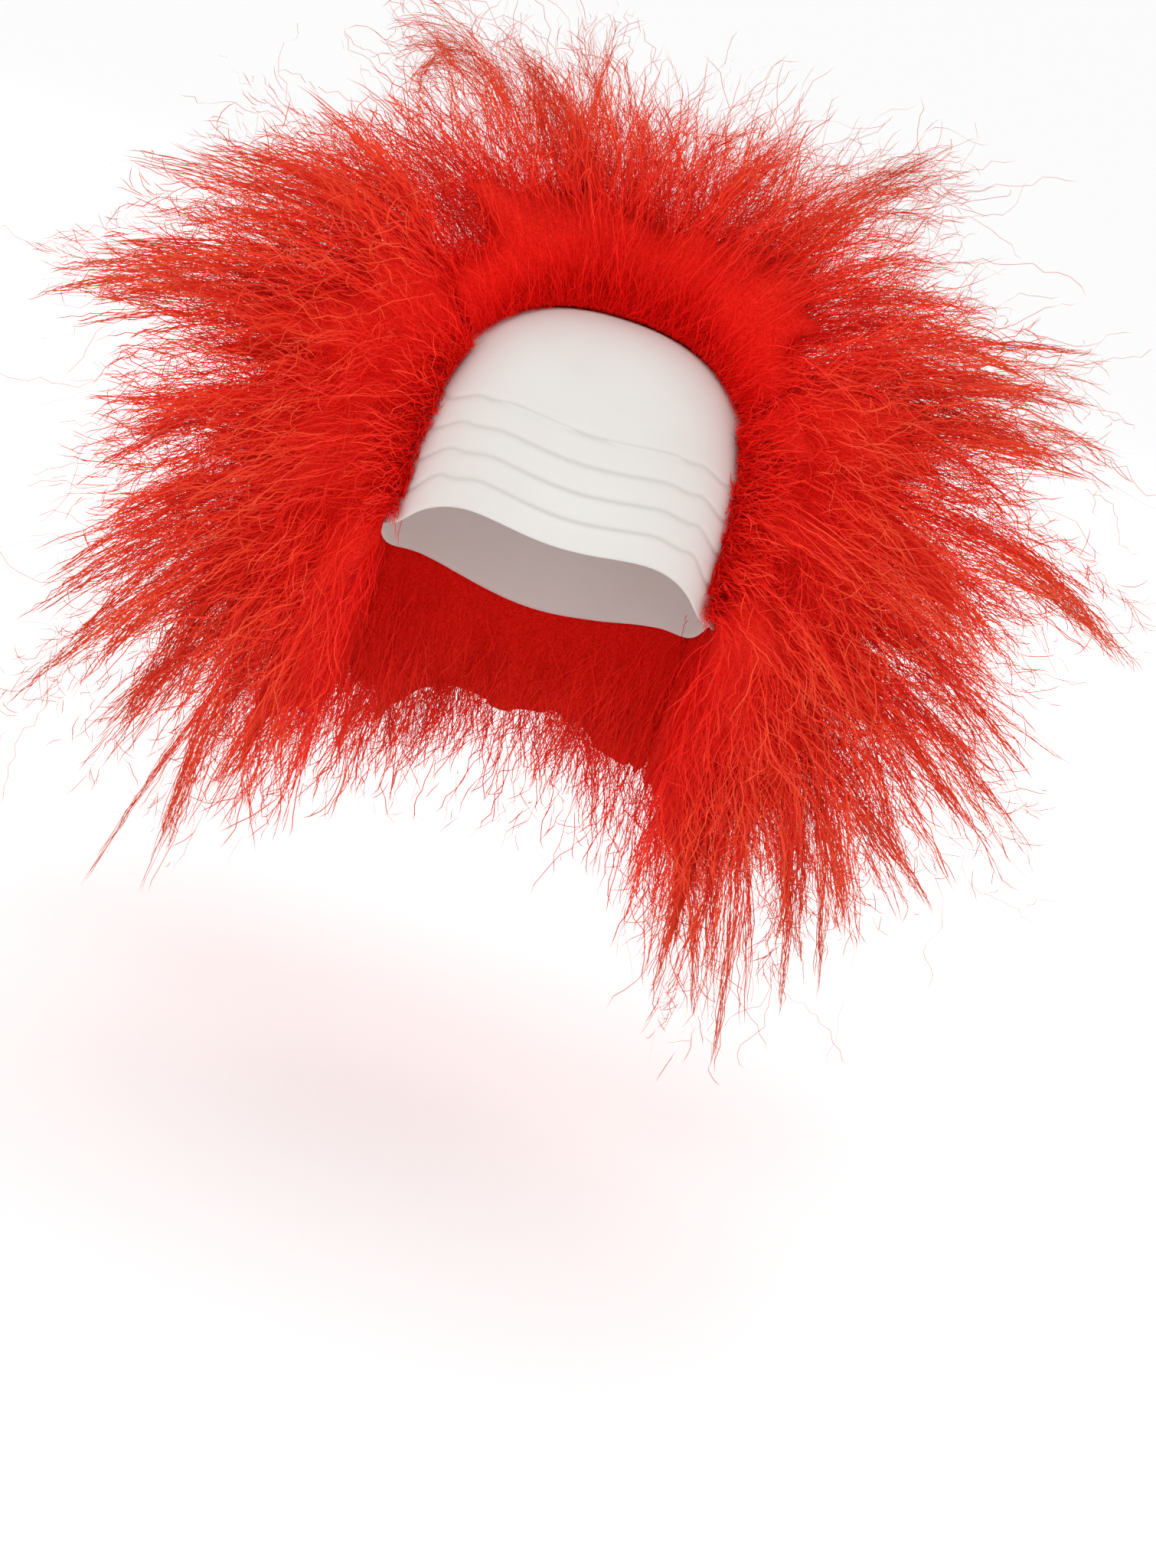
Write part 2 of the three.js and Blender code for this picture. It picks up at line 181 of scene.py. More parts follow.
LIGHTS = [
    {"name": "brow_light", "at": (-0.35, -1.3, 1.4), "size": 0.9, "watts": 3.5},
    {"name": "front_light", "at": (0.05, -2.0, 0.5), "size": 0.8, "watts": 3},
    {"name": "left_light", "at": (-1.7, -0.7, 0.3), "size": 1.2, "watts": 2},
    {"name": "right_light", "at": (1.7, -0.7, 0.3), "size": 1.2, "watts": 2},
    {"name": "back_light", "at": (0.2, 1.6, 1.2), "size": 1.4, "watts": 9},
]
for row in LIGHTS:
    lamp = bpy.data.lights.new(row["name"], "AREA")
    lamp.shape = "DISK"
    lamp.size = row["size"]
    lamp.energy = row["watts"]
    light = bpy.data.objects.new(row["name"], lamp)
    bpy.context.scene.collection.objects.link(light)
    light.location = row["at"]
    towards = LIGHTS_AIM_AT - light.location
    light.rotation_euler = towards.to_track_quat("-Z", "Y").to_euler()
print("lights:", ", ".join(row["name"] for row in LIGHTS))

# %% [markdown]
# ## The head's form
#
# The cap was moulded over an egg-shaped form, and the hair stands round it. Its plan and its
# profile are two superellipses, a little squarer than ellipses. The same rules as in the solid
# model are repeated here, because the creases, the mats and the strands all have to find the
# form's surface. These lengths are in millimetres, and become metres when a mesh is made.

# %% Give the head's sizes and its rules
HEAD_HALF = np.array([76.0, 97.0, 85.0])
PROFILE_POWER = 2.5
PLAN_POWER = 2.2
CAP_DROP = 150
LATEX_WALL = 1.8
HEM_TURNS = [0, 22, 34, 50, 70, 95, 130, 180]
HEM_DROPS = [0.52, 0.502, 0.535, 0.655, 0.71, 0.72, 0.88, 1.0]


def smooth_between(value, low, high):
    share = np.clip((value - low) / (high - low), 0, 1)
    return share * share * (3 - 2 * share)


def fold(turn):
    return np.abs((np.asarray(turn) + 180) % 360 - 180)


def hem_drop(turn):
    drop = np.full(np.shape(turn), HEM_DROPS[0])
    for low, high, start, end in zip(HEM_TURNS, HEM_TURNS[1:], HEM_DROPS, HEM_DROPS[1:]):
        drop += (end - start) * smooth_between(fold(turn), low, high)
    return CAP_DROP * drop


def unit(vectors):
    return vectors / np.maximum(np.linalg.norm(vectors, axis=-1, keepdims=True), 1e-9)


def profile_share(drop, offset):
    """The form's half width at a drop below the crown, as a share of its widest."""
    rest = np.clip(1 - drop / (HEAD_HALF[2] + offset), 0, 1)
    return (1 - rest**PROFILE_POWER) ** (1 / PROFILE_POWER)


def plan_share(points, offset):
    """How far points lie from the middle line, as a share of the form's widest plan."""
    across = np.abs(points[..., 0]) / (HEAD_HALF[0] + offset)
    along = np.abs(points[..., 1]) / (HEAD_HALF[1] + offset)
    return (across**PLAN_POWER + along**PLAN_POWER) ** (1 / PLAN_POWER)


def head_surface(turn, drop, offset):
    """Points of the form grown by an offset, at turns and drops below the crown."""
    turn = np.radians(turn)
    way = np.stack([np.sin(turn), -np.cos(turn), np.zeros_like(turn)], axis=-1)
    points = way * (profile_share(drop, offset) / plan_share(way, offset))[..., None]
    points[..., 2] = offset - drop
    return points


print("the hem hangs", hem_drop(0.0), "mm below the crown at the brow")

# %% [markdown]
# ## The latex cap
#
# A bald cap is dipped latex: one smooth skin, soft to the touch, with creases moulded across the
# forehead. The solid model has its true form in flat facets. A copy of it is joined at its corners,
# paired into four-sided faces and subdivided, which rounds the facets and keeps the creases.

# %% Model the cap
WELD_DISTANCE = 0.00001
CAP_LEVELS = 2


def copy_of_node(node, name):
    piece = frame["nodes"][node].copy()
    piece.data = piece.data.copy()
    piece.name = name
    piece.data.name = name
    piece.data.materials.clear()
    bpy.context.scene.collection.objects.link(piece)
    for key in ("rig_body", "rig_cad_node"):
        if key in piece:
            del piece[key]
    return piece


def weld(piece):
    make_active(piece)
    bpy.ops.object.mode_set(mode="EDIT")
    bpy.ops.mesh.select_all(action="SELECT")
    bpy.ops.mesh.remove_doubles(threshold=WELD_DISTANCE)
    bpy.ops.mesh.tris_convert_to_quads(face_threshold=0.7, shape_threshold=0.9)
    bpy.ops.object.mode_set(mode="OBJECT")


def apply_modifier(piece, kind, **settings):
    make_active(piece)
    modifier = piece.modifiers.new(kind.lower(), kind)
    for key, value in settings.items():
        setattr(modifier, key, value)
    bpy.ops.object.modifier_apply(modifier=modifier.name)


def vertices_of(piece):
    places = np.empty(len(piece.data.vertices) * 3)
    piece.data.vertices.foreach_get("co", places)
    return places.reshape(-1, 3) / MM


def move_vertices(piece, points):
    piece.data.vertices.foreach_set("co", (points * MM).ravel())
    piece.data.update()


cap = copy_of_node("bald_cap", "latex_cap")
weld(cap)
apply_modifier(cap, "SUBSURF", levels=CAP_LEVELS, render_levels=CAP_LEVELS)
bpy.ops.object.shade_smooth()
print("cap faces:", len(cap.data.polygons))

# %% [markdown]
# The subdivision softens the four creases of the solid. Here they get their real edges: a narrow
# groove with a soft swelling on both sides. How many creases lie between a point and the hem is kept
# as an attribute of the mesh, so that painted shade can darken the latex in each groove, however coarse
# the mesh.

# %% Carve the creases
CREASE_COUNT = 4
CREASE_PITCH = 11
CREASE_FADE = (38, 74)
GROOVE_WIDTH = 1.3
GROOVE_DEPTH = 0.55
SWELL_WIDTH = 3.2
SWELL_HEIGHT = 0.2
BROW_DROP = CAP_DROP * HEM_DROPS[0]
INNER_LIMIT = 0.3


def keep_mark(piece, name, values):
    mark = piece.data.attributes.new(name, "FLOAT", "POINT")
    mark.data.foreach_set("value", values)


def carve_creases(piece):
    points = vertices_of(piece)
    turn = np.degrees(np.arctan2(points[:, 0], -points[:, 1]))
    drop = LATEX_WALL - points[:, 2]
    outside = plan_share(points, INNER_LIMIT) > profile_share(drop, INNER_LIMIT)
    shown = outside * (1 - smooth_between(fold(turn), *CREASE_FADE))
    groove = np.zeros(len(points))
    swell = np.zeros(len(points))
    for crease in range(1, CREASE_COUNT + 1):
        middle = 1 - crease * CREASE_PITCH / BROW_DROP
        away = drop - middle * hem_drop(turn)
        groove += np.exp(-((away / GROOVE_WIDTH) ** 2))
        swell += np.exp(-((away / SWELL_WIDTH) ** 2))
    outwards = unit(points / HEAD_HALF**2 * (1, 1, 0))
    rise = shown * (swell * SWELL_HEIGHT - groove * (GROOVE_DEPTH + SWELL_HEIGHT))
    move_vertices(piece, points + outwards * rise[:, None])
    keep_mark(piece, "crease_row", (1 - drop / hem_drop(turn)) * BROW_DROP / CREASE_PITCH)
    keep_mark(piece, "crease_shown", shown)


carve_creases(cap)
print("creases carved", GROOVE_DEPTH, "mm deeper")

# %% [markdown]
# ## Latex
#
# Latex is neither matt nor glossy, and a little light gets into it, so its edges look warm. Its
# colour is off-white with faint blotches, and its surface has the fine orange-peel grain of the
# mould. Both come from noise on the Object coordinates, which stay with the piece from every side.
# Along each crease groove the colour is darkened by painted shade.

# %% Mix the latex
LATEX_COLOUR = (0.86, 0.83, 0.79)
LATEX_ROUGHNESS = 0.5
LATEX_SPECULAR = 0.2
BLOTCH_SCALE = 18.0
BLOTCH_DARK = (0.3, (0.66, 0.635, 0.605, 1))
BLOTCH_LIGHT = (0.72, (0.69, 0.68, 0.655, 1))
GRAIN_SCALE = 900.0
GRAIN_STRENGTH = 0.06
GRAIN_HEIGHT = 0.0004
# Painted shade: the darker colour laid along each crease groove.
PAINTED_GROOVE_SHADE_COLOUR = (0.585, 0.56, 0.53, 1)
GROOVE_SHADE = 0.13
ROW_MARGIN = 0.4
LIGHT_ENTERS = {"weight": 0.12, "radius": (1.0, 0.5, 0.35), "depth": 0.003}


def node_chain(material):
    tree = material.node_tree

    def add(kind, **inputs):
        node = tree.nodes.new(kind)
        for key, value in inputs.items():
            node.inputs[key.replace("_", " ")].default_value = value
        return node

    return tree, add


latex, latex_shader = plain_material("latex", LATEX_COLOUR, LATEX_ROUGHNESS)
tree, add = node_chain(latex)
place = tree.nodes.new("ShaderNodeTexCoord")
blotches = add("ShaderNodeTexNoise", Scale=BLOTCH_SCALE, Detail=3.0)
blotch_tint = tree.nodes.new("ShaderNodeValToRGB")
for element, (position, colour) in zip(blotch_tint.color_ramp.elements, (BLOTCH_DARK, BLOTCH_LIGHT)):
    element.position = position
    element.color = colour
grain = add("ShaderNodeTexNoise", Scale=GRAIN_SCALE, Detail=2.0)
relief = add("ShaderNodeBump", Strength=GRAIN_STRENGTH, Distance=GRAIN_HEIGHT)


def math_node(operation, *values):
    node = tree.nodes.new("ShaderNodeMath")
    node.operation = operation
    for socket, value in zip(node.inputs, values):
        if isinstance(value, (int, float)):
            socket.default_value = value
        else:
            tree.links.new(value, socket)
    return node.outputs[0]


def read_mark(name):
    node = tree.nodes.new("ShaderNodeAttribute")
    node.attribute_name = name
    return node.outputs["Fac"]


# A mask of painted shade along the crease grooves, mixed into the latex colour.
crease_row = read_mark("crease_row")
within_row = math_node("FRACT", math_node("ADD", crease_row, 0.5))
from_crease = math_node("ABSOLUTE", math_node("SUBTRACT", within_row, 0.5))
line = tree.nodes.new("ShaderNodeMapRange")
line.interpolation_type = "SMOOTHSTEP"
line.inputs["From Max"].default_value = GROOVE_SHADE
line.inputs["To Min"].default_value = 1
line.inputs["To Max"].default_value = 0
tree.links.new(from_crease, line.inputs["Value"])
above_first = math_node("GREATER_THAN", crease_row, 1 - ROW_MARGIN)
below_last = math_node("LESS_THAN", crease_row, CREASE_COUNT + ROW_MARGIN)
in_rows = math_node("MULTIPLY", above_first, below_last)
on_a_crease = math_node("MULTIPLY", line.outputs["Result"], in_rows)
painted_groove_shade_mask = math_node("MULTIPLY", on_a_crease, read_mark("crease_shown"))
shadowed = tree.nodes.new("ShaderNodeMix")
shadowed.data_type = "RGBA"
shadowed.inputs["B"].default_value = PAINTED_GROOVE_SHADE_COLOUR
tree.links.new(place.outputs["Object"], blotches.inputs["Vector"])
tree.links.new(blotches.outputs["Fac"], blotch_tint.inputs["Fac"])
tree.links.new(painted_groove_shade_mask, shadowed.inputs["Factor"])
tree.links.new(blotch_tint.outputs["Color"], shadowed.inputs["A"])
tree.links.new(shadowed.outputs["Result"], latex_shader.inputs["Base Color"])
tree.links.new(place.outputs["Object"], grain.inputs["Vector"])
tree.links.new(grain.outputs["Fac"], relief.inputs["Height"])
tree.links.new(relief.outputs["Normal"], latex_shader.inputs["Normal"])
latex_shader.inputs["Specular IOR Level"].default_value = LATEX_SPECULAR
latex_shader.inputs["Subsurface Weight"].default_value = LIGHT_ENTERS["weight"]
latex_shader.inputs["Subsurface Radius"].default_value = LIGHT_ENTERS["radius"]
latex_shader.inputs["Subsurface Scale"].default_value = LIGHT_ENTERS["depth"]
cap.data.materials.append(latex)
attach(cap, "root")
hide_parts("bald_cap")
print(latex.name, "has", len(tree.nodes), "nodes")

# %% [markdown]
# ## The form of the hair
#
# Each lock runs along a curve: it leaves the head where it is sewn in, is thrown outwards and
# falls to its tip. The same rules and the same table as in the solid model place the locks, so
# that the hair fills the solids that it stands for.

# %% Give the hair's sizes
HAIR_HALF_WIDTH = 255
HAIR_RISE = 116
HAIR_FALL = 310
HAIR_DEPTH = 235
LOCK_WIDTH = 58
CENTRE = np.array([0.0, 10.0, -80.0])
FRONT_SHARE = 0.5
FACE_HALF_WIDTH = 69
HAIRLINE_BACK = 28
HAIRLINE_SWEEP = 78
HAIRLINE_POWER = 2.5
ROOT_LIFT = 18
ROOT_SETBACK = 2
ROOT_ABOVE_HEM = 5
GOLDEN_STEP = 0.618034
PLASTIC_STEP = 0.754878

LOCK_ALONG = [0.0, 0.25, 0.5, 0.72, 0.89, 1.0]
LOCK_WIDE = [0.75, 0.9, 0.95, 0.66, 0.3, 0.06]

# %% Chart the locks of the outline: panel, across, up, back, bow and width
OUTLINE_LOCKS = [
    ("crown", -0.20, 1.00, 0.19, 0.55, 0.75),
    ("crown", -0.35, 0.80, 0.24, 0.80, 0.80),
    ("crown", -0.50, 0.66, 0.08, 1.05, 0.75),
    ("crown", -0.06, 0.76, 0.16, 0.50, 0.80),
    ("crown", 0.12, 0.90, 0.15, 0.50, 0.65),
    ("crown", 0.24, 0.86, 0.21, 0.55, 0.85),
    ("crown", 0.48, 0.83, 0.15, 0.75, 0.80),
    ("crown", 0.50, 0.57, 0.08, 0.60, 0.75),
    ("left", -0.58, 0.40, 0.22, 0.40, 0.90),
    ("left", -0.70, 0.28, 0.04, 0.45, 0.90),
    ("left", -0.80, 0.04, 0.26, 0.40, 0.90),
    ("left", -0.88, -0.06, 0.12, 0.35, 0.85),
    ("left", -0.96, -0.13, -0.02, 0.35, 0.85),
    ("left", -1.00, -0.22, 0.15, 0.35, 0.85),
    ("left", -0.80, -0.32, 0.00, 0.35, 0.95),
    ("left", -0.83, -0.43, 0.14, 0.35, 0.95),
    ("left", -0.76, -0.50, -0.04, 0.35, 0.95),
    ("left", -0.81, -0.66, 0.16, 0.35, 0.95),
    ("left", -0.79, -0.80, 0.02, 0.40, 0.75),
    ("left", -0.66, -0.86, 0.10, 0.35, 0.80),
    ("left", -0.48, -0.97, -0.02, 0.30, 0.80),
    ("left", -0.35, -0.73, 0.06, 0.25, 0.65),
    ("right", 0.60, 0.42, 0.16, 0.40, 0.85),
    ("right", 0.77, 0.34, 0.02, 0.40, 0.85),
    ("right", 0.82, 0.14, 0.20, 0.40, 0.90),
    ("right", 0.88, 0.03, 0.04, 0.40, 0.90),
    ("right", 1.00, -0.22, -0.02, 0.50, 0.95),
    ("right", 0.83, -0.26, 0.14, 0.35, 0.95),
    ("right", 0.84, -0.36, -0.03, 0.35, 0.95),
    ("right", 0.89, -0.47, 0.12, 0.35, 0.90),
    ("right", 0.95, -0.57, 0.02, 0.35, 0.70),
    ("right", 0.82, -0.70, 0.14, 0.40, 0.85),
    ("right", 0.68, -0.76, 0.00, 0.35, 0.95),
    ("right", 0.62, -0.91, 0.08, 0.35, 0.95),
    ("right", 0.46, -1.00, -0.04, 0.30, 0.90),
    ("right", 0.37, -0.77, 0.04, 0.25, 0.75),
]
PANELS = {
    "crown": {"turns": (100, 260), "rises": (46, 76), "rows": 2, "columns": 6, "reach": 0.95},
    "left": {"turns": (-122, -58), "rises": (-54, 30), "rows": 4, "columns": 4, "reach": 0.88},
    "right": {"turns": (58, 122), "rises": (-54, 30), "rows": 4, "columns": 4, "reach": 0.88},
    "back": {"turns": (138, 222), "rises": (-56, 40), "rows": 5, "columns": 4, "reach": 0.98},
}
REACH_VARIES = 0.14
FILL_BOW = 0.4
FILL_WIDTH = 0.95


# %% Write the rules that place a lock
def hairline(across):
    return HAIRLINE_BACK - HAIRLINE_SWEEP * np.abs(across / FACE_HALF_WIDTH) ** HAIRLINE_POWER


def direction(turn, rise):
    turn = np.radians(turn)
    rise = np.radians(rise)
    return np.stack([np.cos(rise) * np.sin(turn), -np.cos(rise) * np.cos(turn), np.sin(rise)], axis=-1)


def form_reach(way):
    across = way[..., 0] / HAIR_HALF_WIDTH
    back = way[..., 1] / (HAIR_DEPTH * np.where(way[..., 1] > 0, 1, FRONT_SHARE))
    up = way[..., 2] / np.where(way[..., 2] > 0, HAIR_RISE - CENTRE[2], HAIR_FALL + CENTRE[2])
    return 1 / np.sqrt(across**2 + back**2 + up**2)


def head_depth(points):
    """How far points are outside the cap, as a share of the way to the hair's outer form."""
    way = points - CENTRE
    reach = np.linalg.norm(way, axis=-1)
    way = unit(way)
    head = 1 / np.linalg.norm(way / HEAD_HALF, axis=-1)
    return (reach - head) / (form_reach(way) - head)


def roots_of(tips):
    """Where hair with these tips leaves the head: higher than the tip, and above the hem."""
    way = unit(tips - CENTRE)
    level = np.hypot(way[..., 0], way[..., 1])
    turn = np.degrees(np.arctan2(way[..., 0], -way[..., 1]))
    rise = np.degrees(np.arctan2(way[..., 2], level)) + ROOT_LIFT * level
    root = direction(turn, np.minimum(rise, 90)) * (HEAD_HALF + LATEX_WALL) + CENTRE
    root[..., 2] = np.maximum(root[..., 2], ROOT_ABOVE_HEM - hem_drop(turn))
    limit = np.minimum(np.abs(root[..., 0]), FACE_HALF_WIDTH)
    root[..., 1] = np.maximum(root[..., 1], hairline(limit) + ROOT_SETBACK)
    return root


def outline_tip(across, up, back):
    height = up * (HAIR_RISE if up > 0 else HAIR_FALL)
    return np.array([across * HAIR_HALF_WIDTH, back * HAIR_DEPTH, height])


def fill_tips(panel):
    """A panel's fill locks, staggered from row to row."""
    count = np.arange(panel["rows"] * panel["columns"]) + 1
    row, column = np.divmod(count - 1, panel["columns"])
    turn = np.interp((column + count * GOLDEN_STEP % 1) / panel["columns"], (0, 1), panel["turns"])
    rise = np.interp((row + count * PLASTIC_STEP % 1) / panel["rows"], (0, 1), panel["rises"])
    way = direction(turn, rise)
    reach = form_reach(way) * (panel["reach"] - REACH_VARIES * (count * GOLDEN_STEP % 1))
    return way * reach[:, None] + CENTRE


def locks_of(name):
    """Tips, bows and widths of all the locks in a panel."""
    rows = [row for row in OUTLINE_LOCKS if row[0] == name]
    fill = fill_tips(PANELS[name])
    tips = np.concatenate([[outline_tip(*row[1:4]) for row in rows], fill]) if rows else fill
    bows = np.array([row[4] for row in rows] + [FILL_BOW] * len(fill))
    widths = np.array([row[5] for row in rows] + [FILL_WIDTH] * len(fill))
    return tips, bows, widths


for panel_name in PANELS:
    print(panel_name, "has", len(locks_of(panel_name)[0]), "locks")

# %% [markdown]
# ## The red of the hair
#
# The fibre is one deep red. Close to the head it looks saturated and dark, and the loose frizz
# outside looks orange and paler, because light passes between the thin fibres. This look is painted
# into the colour as light and shade: one node group gives all the hair a saturated red near the head
# and a browner, more orange red at the outer ends. It reads how deep a point lies from the strand's
# own UV map, where U runs from the head outwards and V is the strand's own tint.

# %% Build the hair's colour as a node group
# Painted light and shade by depth: saturated red at the head, browner orange at the outer ends.
PAINTED_LIGHT_REDS = [
    (0.0, (0.94, 0.005, 0.0035)),
    (0.3, (0.95, 0.018, 0.011)),
    (0.5, (0.93, 0.034, 0.019)),
    (0.75, (0.87, 0.084, 0.034)),
    (1.0, (0.63, 0.088, 0.036)),
]
TINT_SHIFTS_DEPTH = 0.3
TINT_BRIGHTNESS = (0.78, 1.06)
STRAND_COLOUR = (0.7, 0.02, 0.01)
STRAND_ROUGHNESS = 0.5
STRAND_SPECULAR = 0.05


def build_fibre_group():
    group = bpy.data.node_groups.new("red_fibre_with_painted_light", "ShaderNodeTree")
    group.interface.new_socket("Depth", in_out="INPUT", socket_type="NodeSocketFloat")
    group.interface.new_socket("Tint", in_out="INPUT", socket_type="NodeSocketFloat")
    group.interface.new_socket("Color", in_out="OUTPUT", socket_type="NodeSocketColor")
    enter = group.nodes.new("NodeGroupInput")
    leave = group.nodes.new("NodeGroupOutput")
    ramp = group.nodes.new("ShaderNodeValToRGB")
    elements = ramp.color_ramp.elements
    while len(elements) < len(PAINTED_LIGHT_REDS):
        elements.new(0.5)
    for element, (position, colour) in zip(elements, PAINTED_LIGHT_REDS):
        element.position = position
        element.color = (*colour, 1)
    shift = group.nodes.new("ShaderNodeMath")
    shift.operation = "MULTIPLY_ADD"
    shift.inputs[1].default_value = TINT_SHIFTS_DEPTH
    outer = group.nodes.new("ShaderNodeMath")
    outer.operation = "ADD"
    outer.inputs[1].default_value = -TINT_SHIFTS_DEPTH / 2
    tint = group.nodes.new("ShaderNodeMapRange")
    tint.inputs["To Min"].default_value = TINT_BRIGHTNESS[0]
    tint.inputs["To Max"].default_value = TINT_BRIGHTNESS[1]
    scale = group.nodes.new("ShaderNodeVectorMath")
    scale.operation = "SCALE"
    group.links.new(enter.outputs["Tint"], shift.inputs[0])
    group.links.new(enter.outputs["Depth"], shift.inputs[2])
    group.links.new(shift.outputs["Value"], outer.inputs[0])
    group.links.new(outer.outputs["Value"], ramp.inputs["Fac"])
    group.links.new(enter.outputs["Tint"], tint.inputs["Value"])
    group.links.new(ramp.outputs["Color"], scale.inputs[0])
    group.links.new(tint.outputs["Result"], scale.inputs["Scale"])
    group.links.new(scale.outputs["Vector"], leave.inputs["Color"])
    return group


fibre_group = build_fibre_group()


def strand_material(name):
    material, shader = plain_material(name, STRAND_COLOUR, STRAND_ROUGHNESS)
    tree = material.node_tree
    uv = tree.nodes.new("ShaderNodeUVMap")
    uv.uv_map = "OFBake"
    split = tree.nodes.new("ShaderNodeSeparateXYZ")
    fibre = tree.nodes.new("ShaderNodeGroup")
    fibre.node_tree = fibre_group
    tree.links.new(uv.outputs["UV"], split.inputs["Vector"])
    tree.links.new(split.outputs["X"], fibre.inputs["Depth"])
    tree.links.new(split.outputs["Y"], fibre.inputs["Tint"])
    tree.links.new(fibre.outputs["Color"], shader.inputs["Base Color"])
    shader.inputs["Specular IOR Level"].default_value = STRAND_SPECULAR
    return material


strand_red = strand_material("red_frizz")
print(fibre_group.name, "feeds", strand_red.name)

# %% [markdown]
# ## The mat under the strands
#
# At its roots the hair is too dense to see into. A copy of each panel's solid, drawn in towards
# the head and remeshed into one soft form, stands for that depth. The strands grow out of it, and
# fill the rest of the solid. A mat keeps a share of each point's distance from the cap.

# %% Model the mats
MAT_KEEPS = {"crown": 0.5, "left": 0.57, "right": 0.57, "back": 0.57}
MAT_SETBACK = 2
MAT_VOXEL = 0.005
MAT_SMOOTHING = 12
WIDEST_DROP = HEAD_HALF[2] * 1.2


def draw_in(points, keeps):
    """Points moved towards the cap, keeping a share of their distance from it."""
    way = points - CENTRE
    reach = np.linalg.norm(way, axis=-1)
    way = unit(way)
    level = np.hypot(way[:, 0], way[:, 1])
    turn = np.degrees(np.arctan2(way[:, 0], -way[:, 1]))
    column = head_surface(turn, np.full(len(points), WIDEST_DROP), LATEX_WALL)
    column_reach = np.linalg.norm(column[:, :2] - CENTRE[:2], axis=-1) / np.maximum(level, 1e-6)
    head = 1 / np.linalg.norm(way / (HEAD_HALF + LATEX_WALL), axis=-1)
    head = np.where(way[:, 2] < 0, np.minimum(np.maximum(head, column_reach), reach), head)
    head = np.minimum(head, reach)
    return CENTRE + way * (head + (reach - head) * keeps)[:, None]


def build_mat(name):
    piece = copy_of_node(f"hair_{name}", f"{name}_mat")
    weld(piece)
    points = draw_in(vertices_of(piece), MAT_KEEPS[name])
    limit = np.minimum(np.abs(points[:, 0]), FACE_HALF_WIDTH)
    front = np.maximum(points[:, 1], hairline(limit) + MAT_SETBACK)
    points[:, 1] = np.where(np.abs(points[:, 0]) < FACE_HALF_WIDTH + MAT_SETBACK, front, points[:, 1])
    move_vertices(piece, points)
    apply_modifier(piece, "REMESH", mode="VOXEL", voxel_size=MAT_VOXEL)
    apply_modifier(piece, "SMOOTH", factor=0.5, iterations=MAT_SMOOTHING)
    bpy.ops.object.shade_smooth()
    keep_mark(piece, "fibre_depth", np.clip(head_depth(vertices_of(piece)), 0, 1))
    return piece


print("the mats keep", MAT_KEEPS, "of their distance from the cap")

# %% [markdown]
# Packed fibre is combed outwards, so its texture is streaks that spread from the middle of the
# head. Noise gives them: three of its coordinates are the direction from the head's middle, which
# changes fast across the streaks, and the fourth is the distance, which changes slowly along them.
# A second, finer noise is the felt of crimped fibre ends. Both feed the same node group as the
# strands, so that a mat has the strands' colour and their painted light and shade at every depth.

# %% Mix the packed fibre
STREAKS_ACROSS = 150.0
STREAKS_ALONG = 70.0
FELT_SCALE = 900.0
STREAK_SHARE = 0.6
FELT_SHARE = 0.4
FIBRE_CONTRAST = 4.0
FURROW_DEPTH = 0.002
MAT_COLOUR = (0.9, 0.01, 0.006)
MAT_ROUGHNESS = 0.8
MAT_SPECULAR = 0.03

mat_red, mat_shader = plain_material("packed_fibre", MAT_COLOUR, MAT_ROUGHNESS)
mat_shader.inputs["Specular IOR Level"].default_value = MAT_SPECULAR
tree, add = node_chain(mat_red)
place = tree.nodes.new("ShaderNodeTexCoord")


def vector_node(operation, vector):
    node = tree.nodes.new("ShaderNodeVectorMath")
    node.operation = operation
    tree.links.new(vector, node.inputs[0])
    return node


centred = vector_node("SUBTRACT", place.outputs["Object"])
centred.inputs[1].default_value = tuple(CENTRE * MM)
from_middle = centred.outputs["Vector"]
outward = vector_node("NORMALIZE", from_middle).outputs["Vector"]
distance = vector_node("LENGTH", from_middle).outputs["Value"]
across = vector_node("SCALE", outward)
across.inputs["Scale"].default_value = STREAKS_ACROSS
streaks = add("ShaderNodeTexNoise", Scale=1.0, Detail=3.0, Roughness=0.6)
streaks.noise_dimensions = "4D"
felt = add("ShaderNodeTexNoise", Scale=FELT_SCALE, Detail=2.0, Distortion=1.5)
tree.links.new(across.outputs["Vector"], streaks.inputs["Vector"])
tree.links.new(math_node("MULTIPLY", distance, STREAKS_ALONG), streaks.inputs["W"])
tree.links.new(place.outputs["Object"], felt.inputs["Vector"])
streak_part = math_node("MULTIPLY", streaks.outputs["Fac"], STREAK_SHARE)
felt_part = math_node("MULTIPLY", felt.outputs["Fac"], FELT_SHARE)
mixed = math_node("ADD", streak_part, felt_part)
stretched = math_node("MULTIPLY_ADD", mixed, FIBRE_CONTRAST, (1 - FIBRE_CONTRAST) / 2)
fibre = tree.nodes.new("ShaderNodeGroup")
fibre.node_tree = fibre_group
furrows = add("ShaderNodeBump", Strength=1.0, Distance=FURROW_DEPTH)
tree.links.new(read_mark("fibre_depth"), fibre.inputs["Depth"])
tree.links.new(stretched, fibre.inputs["Tint"])
tree.links.new(fibre.outputs["Color"], mat_shader.inputs["Base Color"])
tree.links.new(mixed, furrows.inputs["Height"])
tree.links.new(furrows.outputs["Normal"], mat_shader.inputs["Normal"])

for panel_name in PANELS:
    mat = build_mat(panel_name)
    mat.data.materials.append(mat_red)
    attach(mat, "root")
    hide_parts(f"hair_{panel_name}")
    print(mat.name, "triangles:", 2 * len(mat.data.polygons))

